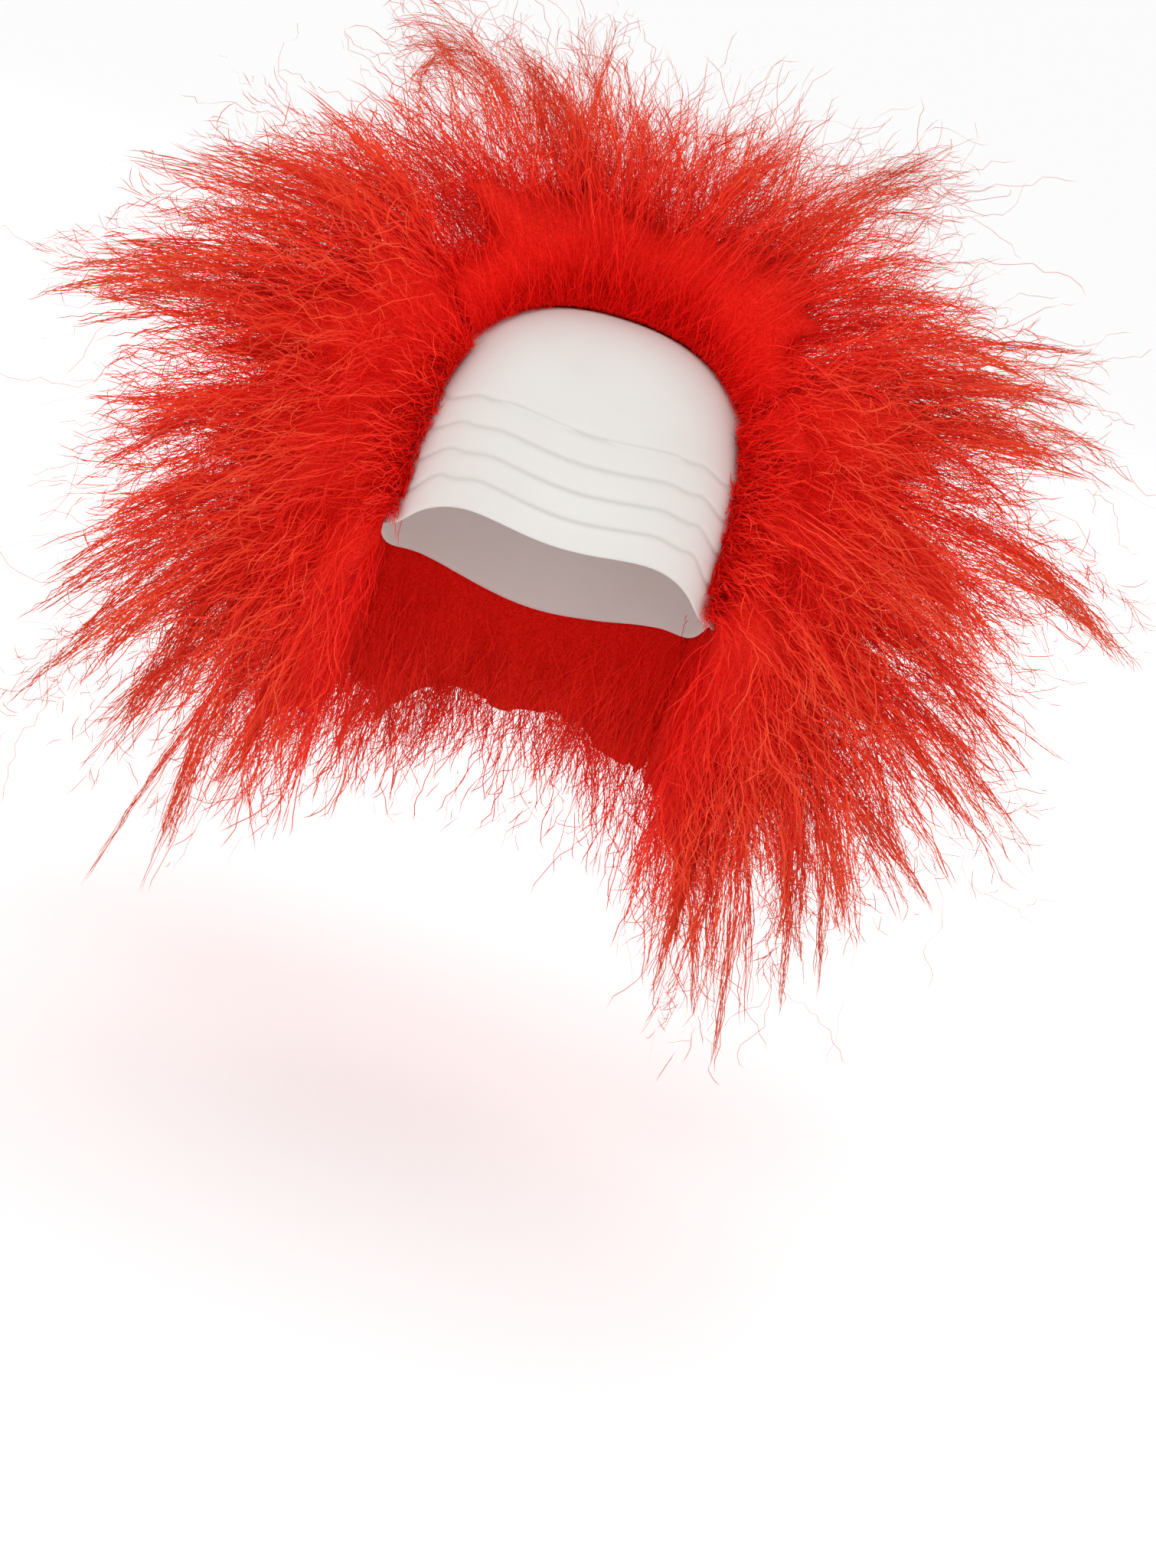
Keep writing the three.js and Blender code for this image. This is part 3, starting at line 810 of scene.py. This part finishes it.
# %% [markdown]
# ## The strands
#
# Crimped fibre wanders: each strand keeps roughly to the way that the hair runs, swings from side
# to side and zigzags finely on top of that. A strand is a flat ribbon, turned its own way, because
# a round tube would need three times the faces and looks the same at this size. All the strands of
# a panel are worked out at once in arrays and joined in one mesh.

# %% Find the way that the hair runs
def curve_points(roots, throws, tips, along):
    """Points of many quadratic curves: one row of shares along each."""
    t = along[..., None]
    return roots[:, None] * (1 - t) ** 2 + throws[:, None] * 2 * t * (1 - t) + tips[:, None] * t**2


def throw_of(roots, tips, bow):
    length = np.linalg.norm(tips - roots, axis=-1)
    return roots + unit(roots - CENTRE) * (bow * length)[..., None]


def flow_at(points):
    """The direction of a lock that passes through each point."""
    way = unit(points - CENTRE)
    level = np.hypot(way[..., 0], way[..., 1])
    turn = np.degrees(np.arctan2(way[..., 0], -way[..., 1]))
    depth = np.clip(head_depth(points), 0, 1)
    rise = np.degrees(np.arctan2(way[..., 2], level)) - ROOT_LIFT * level * (1 - depth)
    way = direction(turn, rise)
    tips = CENTRE + way * form_reach(way)[..., None]
    roots = roots_of(tips)
    throws = throw_of(roots, tips, FILL_BOW)
    depth = depth[..., None]
    return unit((throws - roots) * (1 - depth) + (tips - throws) * depth)


print("hair at the left temple runs", flow_at(np.array([[-120.0, -20.0, -80.0]]))[0].round(2))


# %% Write the rules that shape a strand
WANDER_AT_START = 0.1
WANDER_PER_STEP = 0.11
WANDER_KEPT = 0.7
CURL = (0.2, 1.7)
SWINGS = ((62, 2.6), (24, 1.3))
CRIMP_SPREAD = 0.35


def follow(random, starts, headings, length, steps, hold, flow=flow_at):
    """Strands that set out on their own heading and turn with the flow."""
    points = [starts]
    wander = random.normal(0, WANDER_AT_START, starts.shape)
    for _ in range(steps - 1):
        wander = WANDER_KEPT * wander + random.normal(0, WANDER_PER_STEP, starts.shape)
        headings = unit(headings * hold + flow(points[-1]) * (1 - hold) + wander)
        points.append(points[-1] + headings * (length / (steps - 1))[:, None])
    return np.stack(points, axis=1)


def curled(random, starts, headings, length, steps):
    """Short fibres, each bent in an arc of its own."""
    headings = unit(headings)
    aside = unit(np.cross(headings, random.normal(size=headings.shape)))
    turn = random.uniform(*CURL, len(starts))
    angle = turn[:, None] * np.linspace(0, 1, steps)
    radius = (length / turn)[:, None, None]
    forward = headings[:, None] * np.sin(angle)[..., None]
    sideways = aside[:, None] * (1 - np.cos(angle))[..., None]
    return starts[:, None] + (forward + sideways) * radius


def frizz(random, points, size, crimp):
    """Moves points off their curve: a slow swing, a quicker wave and a fine zigzag."""
    count, steps = points.shape[:2]
    tangent = unit(np.gradient(points, axis=1))
    side = unit(np.cross(tangent, unit(random.normal(size=(count, 1, 3)))))
    lift = np.cross(tangent, side)
    gaps = np.linalg.norm(np.diff(points, axis=1), axis=-1)
    travelled = np.concatenate([np.zeros((count, 1)), np.cumsum(gaps, axis=1)], axis=1)
    zigzag = np.where(np.arange(steps) % 2, 1, -1) * random.uniform(0.25, 1.0, (count, 1))
    moved = points
    for ways, share in ((side, 1.0), (lift, 0.5)):
        offset = (zigzag * share + random.normal(0, CRIMP_SPREAD, (count, steps))) * crimp
        for wave, swing in SWINGS:
            pace = wave * random.uniform(0.7, 1.4, (count, 1))
            phase = random.uniform(0, 2 * np.pi, (count, 1))
            offset = offset + size * swing * random.uniform(0.2, 1, (count, 1)) * (
                np.sin(2 * np.pi * travelled / pace + phase) - np.sin(phase)
            )
        moved = moved + ways * offset[..., None]
    return moved


FRINGE_FROM = (44, 60)
FRINGE_DEPTH = (15, 30)
DEEPEST_DIP = 14
LIFT_CLEAR = 0.4
BOX_MARGIN = 13


def clear_of_head(points, gap):
    """Eases strands out of the cap, and drops those that dip far into it or cross the face."""
    drop = LATEX_WALL - points[..., 2]
    level = np.clip(plan_share(points, LATEX_WALL), 0.01, None)
    wanted = profile_share(np.maximum(drop, 0), LATEX_WALL) * gap
    outwards = np.maximum(wanted / level, 1) - 1
    radius = np.linalg.norm(points[..., :2], axis=-1)
    height = (1 - np.minimum(level, 1) ** PROFILE_POWER) ** (1 / PROFILE_POWER)
    upwards = drop - (HEAD_HALF[2] + LATEX_WALL) * (1 - height)
    dips = (drop > 0) & (wanted > level)
    by_top = dips & (upwards < outwards * radius)
    limit = np.minimum(np.abs(points[..., 0]), FACE_HALF_WIDTH)
    ahead = np.where(np.abs(points[..., 0]) < FACE_HALF_WIDTH, hairline(limit) - points[..., 1], 0)
    allowed = np.interp(np.abs(points[..., 0]), FRINGE_FROM, FRINGE_DEPTH)
    dip = np.where(by_top, upwards, np.where(dips, outwards * radius, 0))
    keep = (dip.max(axis=1) < DEEPEST_DIP) & (ahead < allowed).all(axis=1)
    points = points[keep].copy()
    points[..., 2] += np.where(by_top, upwards + LIFT_CLEAR, 0)[keep]
    points[..., :2] *= np.where(dips & ~by_top, 1 + outwards, 1)[keep][..., None]
    return points


def within_box(points):
    """Drops strands that reach out of the solid model's box by more than a margin."""
    low = np.array(cad_box[0]) / MM - BOX_MARGIN
    high = np.array(cad_box[1]) / MM + BOX_MARGIN
    return points[((points > low) & (points < high)).all(axis=(1, 2))]


print("strands may reach", BOX_MARGIN, "mm out of the solid model's box")


# %% Write the ribbon maker
DEPTH_LIMITS = (0.002, 0.998)
TINT_LIMITS = (0.02, 0.98)


def ribbons(random, points, widths):
    """Flat ribbons with pointed ends: their corners, faces, and depth and tint at the corners."""
    count, steps = points.shape[:2]
    tangent = unit(np.gradient(points, axis=1))
    turned = unit(random.normal(size=(count, 1, 3)))
    edge = unit(np.cross(tangent, turned)) * widths[..., None] / 2
    pairs = np.stack([points - edge, points + edge], axis=2).reshape(count, steps * 2, 3)
    pairs[:, 1] = points[:, 0]
    pairs[:, -2] = points[:, -1]
    corners = pairs[:, 1:-1].reshape(-1, 3)
    strip = np.arange(steps * 2 - 4)[:, None]
    strip = strip + np.where(strip % 2, (1, 0, 2), (0, 1, 2))
    faces = (strip[None] + (np.arange(count) * (steps * 2 - 2))[:, None, None]).reshape(-1, 3)
    depth = np.clip(head_depth(corners), *DEPTH_LIMITS)
    tint = np.repeat(random.uniform(*TINT_LIMITS, count), steps * 2 - 2)
    return corners, faces, np.stack([depth, tint], axis=-1)


def ribbon_piece(name, groups, material):
    """One mesh of several groups of ribbons, with depth as U and tint as V."""
    firsts = np.cumsum([0] + [len(corners) for corners, _, _ in groups])
    corners = np.concatenate([group[0] for group in groups]) * MM
    faces = np.concatenate([group[1] + first for group, first in zip(groups, firsts)])
    uv = np.concatenate([group[2] for group in groups])
    mesh = bpy.data.meshes.new(name)
    mesh.vertices.add(len(corners))
    mesh.vertices.foreach_set("co", corners.ravel())
    mesh.loops.add(faces.size)
    mesh.loops.foreach_set("vertex_index", faces.ravel())
    mesh.polygons.add(len(faces))
    mesh.polygons.foreach_set("loop_start", np.arange(0, faces.size, 3))
    layer = mesh.uv_layers.new(name="OFBake")
    layer.uv.foreach_set("vector", uv[faces.ravel()].ravel())
    mesh.materials.append(material)
    mesh.update()
    mesh.validate()
    piece = bpy.data.objects.new(name, mesh)
    bpy.context.scene.collection.objects.link(piece)
    return piece


# %% [markdown]
# Most strands keep to a lock. A lock is a bundle of tufts, and a tuft is what frizzy hair really
# gathers into: its strands start apart and close up to a point, while the tufts bend away from each
# other and leave gaps. Each tuft has its own line inside the lock, and its strands follow that line.

# %% Work out where the tufts of a lock run
TUFTS_IN_LOCK = 8
OUTLINE_SHARE = 1.5
TUFT_RADIUS = 6.5
TUFT_ALONG = [0.0, 0.45, 0.75, 1.0]
TUFT_OPEN = [1.2, 1.1, 0.65, 0.12]
TUFT_BEND = 13
TUFT_BEND_POWER = 2.5
TUFT_WAVE = 3.0
TUFT_WAVES = 7
TUFT_ENDS = (0.84, 1.03)
TUFT_FLATNESS = 0.8
LOOSE_OPEN = 1.5
LONG_LOOSE = 0.12
FUZZ_LOOSE = 0.25
FUZZ_SPREAD = 0.42


def tuft_places(random, name, count):
    """Picks a lock and a tuft for each strand, and gathers all that describes them."""
    tips, bows, widths = locks_of(name)
    roots = roots_of(tips)
    throws = throw_of(roots, tips, bows)
    lengths = np.linalg.norm(tips - roots, axis=-1)
    tufts = {
        "angle": random.uniform(0, 2 * np.pi, (len(tips), TUFTS_IN_LOCK)),
        "radius": np.sqrt(random.uniform(0, 1, (len(tips), TUFTS_IN_LOCK))),
        "end": random.uniform(*TUFT_ENDS, (len(tips), TUFTS_IN_LOCK)),
        "aside": random.normal(0, TUFT_BEND, (len(tips), TUFTS_IN_LOCK)),
        "rise": random.normal(0, TUFT_BEND, (len(tips), TUFTS_IN_LOCK)),
        "phase": random.uniform(0, 2 * np.pi, (len(tips), TUFTS_IN_LOCK)),
    }
    drawn = np.arange(len(tips)) < sum(row[0] == name for row in OUTLINE_LOCKS)
    weight = widths * lengths * np.where(drawn, OUTLINE_SHARE, 1)
    lock = random.choice(len(tips), count, p=weight / weight.sum())
    tuft = random.integers(0, TUFTS_IN_LOCK, count)
    places = {key: values[lock, tuft] for key, values in tufts.items()}
    places |= {"root": roots[lock], "throw": throws[lock], "tip": tips[lock]}
    places |= {"width": widths[lock], "length": lengths[lock]}
    return places


def tuft_points(random, places, along, loose):
    """Points beside each tuft's line, at shares of the way from root to tip."""
    count = len(along)
    points = curve_points(places["root"], places["throw"], places["tip"], along)
    tip = places["tip"]
    level = np.stack([CENTRE[1] - tip[:, 1], tip[:, 0], np.zeros(count)], axis=-1)
    tangent = unit(np.gradient(points, axis=1))
    lift = unit(np.cross(level[:, None], tangent))
    side = np.cross(tangent, lift)
    half = np.interp(along, LOCK_ALONG, LOCK_WIDE) * LOCK_WIDTH / 2 * places["width"][:, None]
    share = along / places["end"][:, None]
    swing = TUFT_WAVE * np.sin(TUFT_WAVES * share + places["phase"][:, None]) * share
    open_by = np.interp(share, TUFT_ALONG, TUFT_OPEN) * TUFT_RADIUS * places["width"][:, None]
    is_loose = (random.uniform(0, 1, count) < loose)[:, None]
    open_by = np.where(is_loose, TUFT_RADIUS * LOOSE_OPEN, open_by)
    own_angle = random.uniform(0, 2 * np.pi, (count, 1))
    own_radius = np.sqrt(random.uniform(0, 1, (count, 1)))
    angle = places["angle"][:, None]
    radius = places["radius"][:, None]
    bend = share**TUFT_BEND_POWER
    sideways = half * radius * np.cos(angle) + places["aside"][:, None] * bend + swing
    upwards = half * radius * np.sin(angle) * TUFT_FLATNESS
    upwards = upwards + places["rise"][:, None] * bend * TUFT_FLATNESS
    sideways = sideways + open_by * own_radius * np.cos(own_angle)
    upwards = upwards + open_by * own_radius * np.sin(own_angle)
    return points + side * sideways[..., None] + lift * upwards[..., None]


def lock_strands(random, name, count, steps, lengths_mm):
    """Long strands along the tufts, fewer and fewer towards the tips."""
    places = tuft_places(random, name, count)
    reach = random.uniform(*lengths_mm, count) / places["length"]
    end = (0.4 + 0.6 * random.beta(1.6, 1.0, count)) * places["end"]
    start = np.maximum(end - reach, 0.05)
    along = start[:, None] + (end - start)[:, None] * np.linspace(0, 1, steps)
    return tuft_points(random, places, along, LONG_LOOSE)


def lock_fuzz(random, name, count, steps, lengths_mm):
    """Short curled fibres that stand off the tufts and felt them together."""
    places = tuft_places(random, name, count)
    middle = (0.4 + 0.56 * random.beta(1.3, 1.1, count)) * places["end"]
    pair = tuft_points(random, places, middle[:, None] + (0, 0.04), FUZZ_LOOSE)
    headings = unit(pair[:, 1] - pair[:, 0]) + random.normal(0, FUZZ_SPREAD, (count, 3))
    return curled(random, pair[:, 0], headings, random.uniform(*lengths_mm, count), steps)


print("a lock has", TUFTS_IN_LOCK, "tufts")

# %% [markdown]
# The other strands hide the mats and blur the edges. Short fuzz grows all over a mat. A dense row
# stands up along the hairline and laps over the edge of the bare cap. Where a mat faces the head,
# below the cap, hair hangs down like a curtain. The last fill the room between the locks.

# %% Work out where the other strands run
def points_on(piece, count, random):
    """Points spread evenly over a piece, and the way its surface faces there."""
    mesh = piece.data
    mesh.calc_loop_triangles()
    corners = np.empty(len(mesh.loop_triangles) * 3, dtype=int)
    mesh.loop_triangles.foreach_get("vertices", corners)
    a, b, c = np.moveaxis(vertices_of(piece)[corners.reshape(-1, 3)], 1, 0)
    normal = np.cross(b - a, c - a)
    area = np.linalg.norm(normal, axis=-1)
    chosen = random.choice(len(area), count, p=area / area.sum())
    u, v = np.sort(random.uniform(0, 1, (2, count)), axis=0)
    spots = a[chosen] * u[:, None] + b[chosen] * (v - u)[:, None] + c[chosen] * (1 - v)[:, None]
    return spots, unit(normal[chosen])


CURTAIN_REACH = 45
BELOW_HEM = 2
FACING_HEAD = -0.2
FACING_FRONT = -0.4


def faces_head(spots, normals):
    """True where a mat's surface looks at the head or the face."""
    inwards = (normals[:, :2] * unit(spots[:, :2] - CENTRE[:2])).sum(axis=-1) < FACING_HEAD
    by_face = np.abs(spots[:, 0]) < FACE_HALF_WIDTH + CURTAIN_REACH
    in_front = by_face & (normals[:, 1] < FACING_FRONT)
    return inwards | in_front


def mat_fuzz(random, piece, count, steps, lengths_mm):
    spots, normals = points_on(piece, count * 2, random)
    shown = ~faces_head(spots, normals)
    spots, normals = spots[shown][:count], normals[shown][:count]
    headings = flow_at(spots) + normals * 0.5 + random.normal(0, FUZZ_SPREAD, spots.shape)
    length = random.uniform(*lengths_mm, len(spots))
    return curled(random, spots - unit(headings) * 2, headings, length, steps)


def hangs_at(points):
    """The way that loose hair hangs: down, and a little away from the head."""
    away = unit((points - CENTRE) * (1, 1, 0))
    return unit(away * 0.1 + (0, 0, -1))


def curtain_strands(random, piece, count, steps, lengths_mm):
    spots, normals = points_on(piece, count * 8, random)
    turn = np.degrees(np.arctan2(spots[:, 0], -spots[:, 1]))
    below = spots[:, 2] < -hem_drop(turn) - BELOW_HEM
    in_front = (normals[:, 1] < FACING_FRONT) & (np.abs(spots[:, 0]) > FACE_HALF_WIDTH)
    shown = faces_head(spots, normals) & (below | in_front)
    spots, normals = spots[shown][:count], normals[shown][:count]
    headings = unit(hangs_at(spots) + normals * 0.35 + random.normal(0, 0.3, spots.shape))
    length = random.uniform(*lengths_mm, len(spots))
    return follow(random, spots, headings, length, steps, 0.7, hangs_at)


STRIP_BEHIND = 7
STRIP_AHEAD = {"crown": 12, "temple": 16}
LEANS_FORWARD = {"crown": 0.8, "temple": 0.75}
LAPS_INWARDS = 1.3
CROWN_RISE = 40
STRIP_TRIES = 400000
STRIP_DROP = 110
STRIP_ABOVE_HEM = 3


def hairline_places(random, name, count):
    """Places on the cap in a narrow strip along the edge of its bare front, and headings there."""
    turn = random.uniform(-180, 180, STRIP_TRIES)
    drop = random.uniform(0, 1, STRIP_TRIES) ** 2 * STRIP_DROP
    spots = head_surface(turn, drop, LATEX_WALL)
    behind = spots[:, 1] - hairline(np.minimum(np.abs(spots[:, 0]), FACE_HALF_WIDTH))
    way = unit(spots - CENTRE)
    rise = np.degrees(np.arctan2(way[:, 2], np.hypot(way[:, 0], way[:, 1])))
    by_crown = rise > CROWN_RISE
    mine = {
        "crown": by_crown,
        "left": ~by_crown & (spots[:, 0] < 0),
        "right": ~by_crown & (spots[:, 0] > 0),
        "back": np.zeros(STRIP_TRIES, dtype=bool),
    }
    ahead = np.where(by_crown, STRIP_AHEAD["crown"], STRIP_AHEAD["temple"])
    chosen = mine[name] & (behind > -ahead) & (behind < STRIP_BEHIND)
    chosen = np.flatnonzero(chosen & (drop < hem_drop(turn) - STRIP_ABOVE_HEM))[:count]
    spots = spots[chosen]
    lean = np.where(by_crown[chosen], LEANS_FORWARD["crown"], LEANS_FORWARD["temple"])
    headings = unit((spots - CENTRE) / HEAD_HALF**2) + flow_at(spots) * 0.5 + lean[:, None] * (0, -1, 0)
    return spots, headings


def hairline_strands(random, name, count, steps, lengths_mm):
    spots, headings = hairline_places(random, name, count)
    headings = unit(headings + random.normal(0, 0.3, spots.shape))
    return follow(random, spots, headings, random.uniform(*lengths_mm, len(spots)), steps, 0.74)


def hairline_fuzz(random, name, count, steps, lengths_mm):
    spots, headings = hairline_places(random, name, count)
    by_temple = (spots[:, 2] < CENTRE[2] / 2)[:, None]
    inwards = -np.sign(spots[:, :1]) * (1, 0, 0) + (0, -0.5, 0)
    headings = headings + by_temple * inwards * LAPS_INWARDS + random.normal(0, 0.5, spots.shape)
    return curled(random, spots, headings, random.uniform(*lengths_mm, len(spots)), steps)


FREE_RANGES = {
    "crown": ((88, 272), (34, 88)),
    "left": ((-128, -54), (-64, 48)),
    "right": ((54, 128), (-64, 48)),
    "back": ((128, 232), (-64, 50)),
    "left_seam": ((-139, -121), (-64, 48)),
    "right_seam": ((121, 139), (-64, 48)),
}


def free_places(random, name, count, depths):
    turns, rises = FREE_RANGES[name]
    turn = random.uniform(*turns, count)
    low, high = np.sin(np.radians(rises))
    rise = np.degrees(np.arcsin(random.uniform(low, high, count)))
    way = direction(turn, rise)
    head = 1 / np.linalg.norm(way / HEAD_HALF, axis=-1)
    depth = random.uniform(*depths, count)
    return CENTRE + way * (head + (form_reach(way) - head) * depth)[:, None]


def free_strands(random, name, count, steps, depths, lengths_mm):
    spots = free_places(random, name, count, depths)
    headings = unit(flow_at(spots) + random.normal(0, 0.22, spots.shape))
    return follow(random, spots, headings, random.uniform(*lengths_mm, count), steps, 0.6)


def free_fuzz(random, name, count, steps, depths, lengths_mm):
    spots = free_places(random, name, count, depths)
    headings = flow_at(spots) + random.normal(0, 0.45, spots.shape)
    return curled(random, spots, headings, random.uniform(*lengths_mm, count), steps)


print("hair laps the cap by", STRIP_AHEAD, "mm")

# %% Grow the strands
LONG_STEPS = 9
ROW_STEPS = 7
FUZZ_STEPS = 5
LONG = (24, 54)
ROW = (10, 36)
CURTAIN = (22, 50)
FUZZ = (8, 19)
SPECK = (5, 14)
LONG_WIDTH = (0.32, 0.4, 0.44, 0.34)
FUZZ_WIDTH = (0.3, 0.34, 0.34, 0.28)
WIDTH_DEPTHS = (0, 0.45, 0.75, 1)
LONG_CRIMP = 0.6
FUZZ_CRIMP = 0.25
SIDE_PLAN = {"locks": 6000, "hairline": 800, "curtain": 1200, "edge_fuzz": 2000,
             "lock_fuzz": 6200, "mat_fuzz": 4800, "breadth": 1.0}
CROWN_PLAN = SIDE_PLAN | {"locks": 3100, "hairline": 1300, "curtain": 150, "mat_fuzz": 8600,
                          "lock_fuzz": 4200, "edge_fuzz": 2400, "breadth": 0.75}
BACK_PLAN = SIDE_PLAN | {"locks": 4800, "curtain": 2400, "mat_fuzz": 7600, "lock_fuzz": 5200}
STRANDS = {
    "crown": CROWN_PLAN | {"seed": 11},
    "left": SIDE_PLAN | {"seed": 23},
    "right": SIDE_PLAN | {"seed": 37},
    "back": BACK_PLAN | {"seed": 53},
}


def finish_strands(random, strands, size, crimp, widths, gap=1.01, breadth=1.0):
    points = within_box(clear_of_head(frizz(random, strands, size, crimp), gap))
    depth = np.clip(head_depth(points), 0, 1)
    return ribbons(random, points, np.interp(depth, WIDTH_DEPTHS, widths) * breadth)


def grow_panel(name, plan):
    random = np.random.default_rng(plan["seed"])
    mat = bpy.data.objects[f"{name}_mat"]
    longs = [
        (lock_strands(random, name, plan["locks"], LONG_STEPS, LONG), 0.4, 1.01),
        (hairline_strands(random, name, plan["hairline"], ROW_STEPS, ROW), 0.6, 1.005),
        (curtain_strands(random, mat, plan["curtain"], ROW_STEPS, CURTAIN), 0.7, 0.965),
    ]
    shorts = [
        lock_fuzz(random, name, plan["lock_fuzz"], FUZZ_STEPS, FUZZ),
        mat_fuzz(random, mat, plan["mat_fuzz"], FUZZ_STEPS, FUZZ),
        hairline_fuzz(random, name, plan["edge_fuzz"], FUZZ_STEPS, SPECK),
    ]
    thin = plan["breadth"]
    groups = [
        finish_strands(random, strands, size, LONG_CRIMP, LONG_WIDTH, gap, thin)
        for strands, size, gap in longs
    ]
    groups += [
        finish_strands(random, strands, 0.0, FUZZ_CRIMP, FUZZ_WIDTH, breadth=thin)
        for strands in shorts
    ]
    return ribbon_piece(f"{name}_strands", groups, strand_red)


for panel_name, plan in STRANDS.items():
    strands = grow_panel(panel_name, plan)
    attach(strands, "root")
    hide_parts(f"hair_{panel_name}")
    print(strands.name, "triangles:", len(strands.data.polygons))

# %% [markdown]
# ## The fill between the locks
#
# Between the locks and over the seams between the panels the hair is just as thick, but in no
# order. One more piece fills that room with long strands and short fuzz that follow the flow.

# %% Fill the room between the locks
FILL = {
    "crown": {"long": 1000, "fuzz": 2600},
    "left": {"long": 1500, "fuzz": 3000},
    "right": {"long": 1500, "fuzz": 3000},
    "back": {"long": 2200, "fuzz": 4200},
    "left_seam": {"long": 500, "fuzz": 900},
    "right_seam": {"long": 500, "fuzz": 900},
}
LONG_FILL_DEPTHS = (0.26, 0.58)
FUZZ_FILL_DEPTHS = (0.36, 0.74)
FILL_SWING = 0.9

random = np.random.default_rng(97)
groups = []
for panel_name, plan in FILL.items():
    long_fill = free_strands(random, panel_name, plan["long"], LONG_STEPS, LONG_FILL_DEPTHS, LONG)
    fuzz_fill = free_fuzz(random, panel_name, plan["fuzz"], FUZZ_STEPS, FUZZ_FILL_DEPTHS, FUZZ)
    groups.append(finish_strands(random, long_fill, FILL_SWING, LONG_CRIMP, LONG_WIDTH))
    groups.append(finish_strands(random, fuzz_fill, 0.0, FUZZ_CRIMP, FUZZ_WIDTH))
fill = ribbon_piece("fill_strands", groups, strand_red)
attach(fill, "root")
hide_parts(*[f"hair_{panel_name}" for panel_name in PANELS])
print(fill.name, "triangles:", len(fill.data.polygons))

# %% [markdown]
# ## Flyaways
#
# Past the locks a few long fine fibres escape and curl at their ends. They make the outline airy.
# They are thinner than the rest and wander more.

# %% Let some fibres fly away
FLYAWAY_STEPS = 15
FLYAWAY_WIDTH = (0.24, 0.24, 0.22, 0.2)
FLYAWAY_LENGTH = (35, 80)
FLYAWAY_START = (0.45, 0.85)
FLYAWAY_TURN = 1.6
FLYAWAY_SPREAD = 9
FLYAWAY_SWING = 1.3
FLYAWAY_CRIMP = 0.9
FLYAWAYS = {"crown": 300, "left": 340, "right": 340, "back": 240}


def flyaways(random, name, count):
    tips, bows, _ = locks_of(name)
    roots = roots_of(tips)
    throws = throw_of(roots, tips, bows)
    chosen = random.integers(0, len(tips), count)
    start = random.uniform(*FLYAWAY_START, count)
    points = curve_points(roots[chosen], throws[chosen], tips[chosen], start[:, None] + (0, 0.05))
    headings = unit(points[:, 1] - points[:, 0] + random.normal(0, FLYAWAY_TURN, (count, 3)))
    spots = points[:, 0] + random.normal(0, FLYAWAY_SPREAD, (count, 3))
    length = random.uniform(*FLYAWAY_LENGTH, count)
    return follow(random, spots, headings, length, FLYAWAY_STEPS, 0.8)


random = np.random.default_rng(71)
groups = [
    finish_strands(random, flyaways(random, name, count), FLYAWAY_SWING, FLYAWAY_CRIMP, FLYAWAY_WIDTH)
    for name, count in FLYAWAYS.items()
]
loose = ribbon_piece("flyaway_strands", groups, strand_red)
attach(loose, "root")
print(loose.name, "triangles:", len(loose.data.polygons))
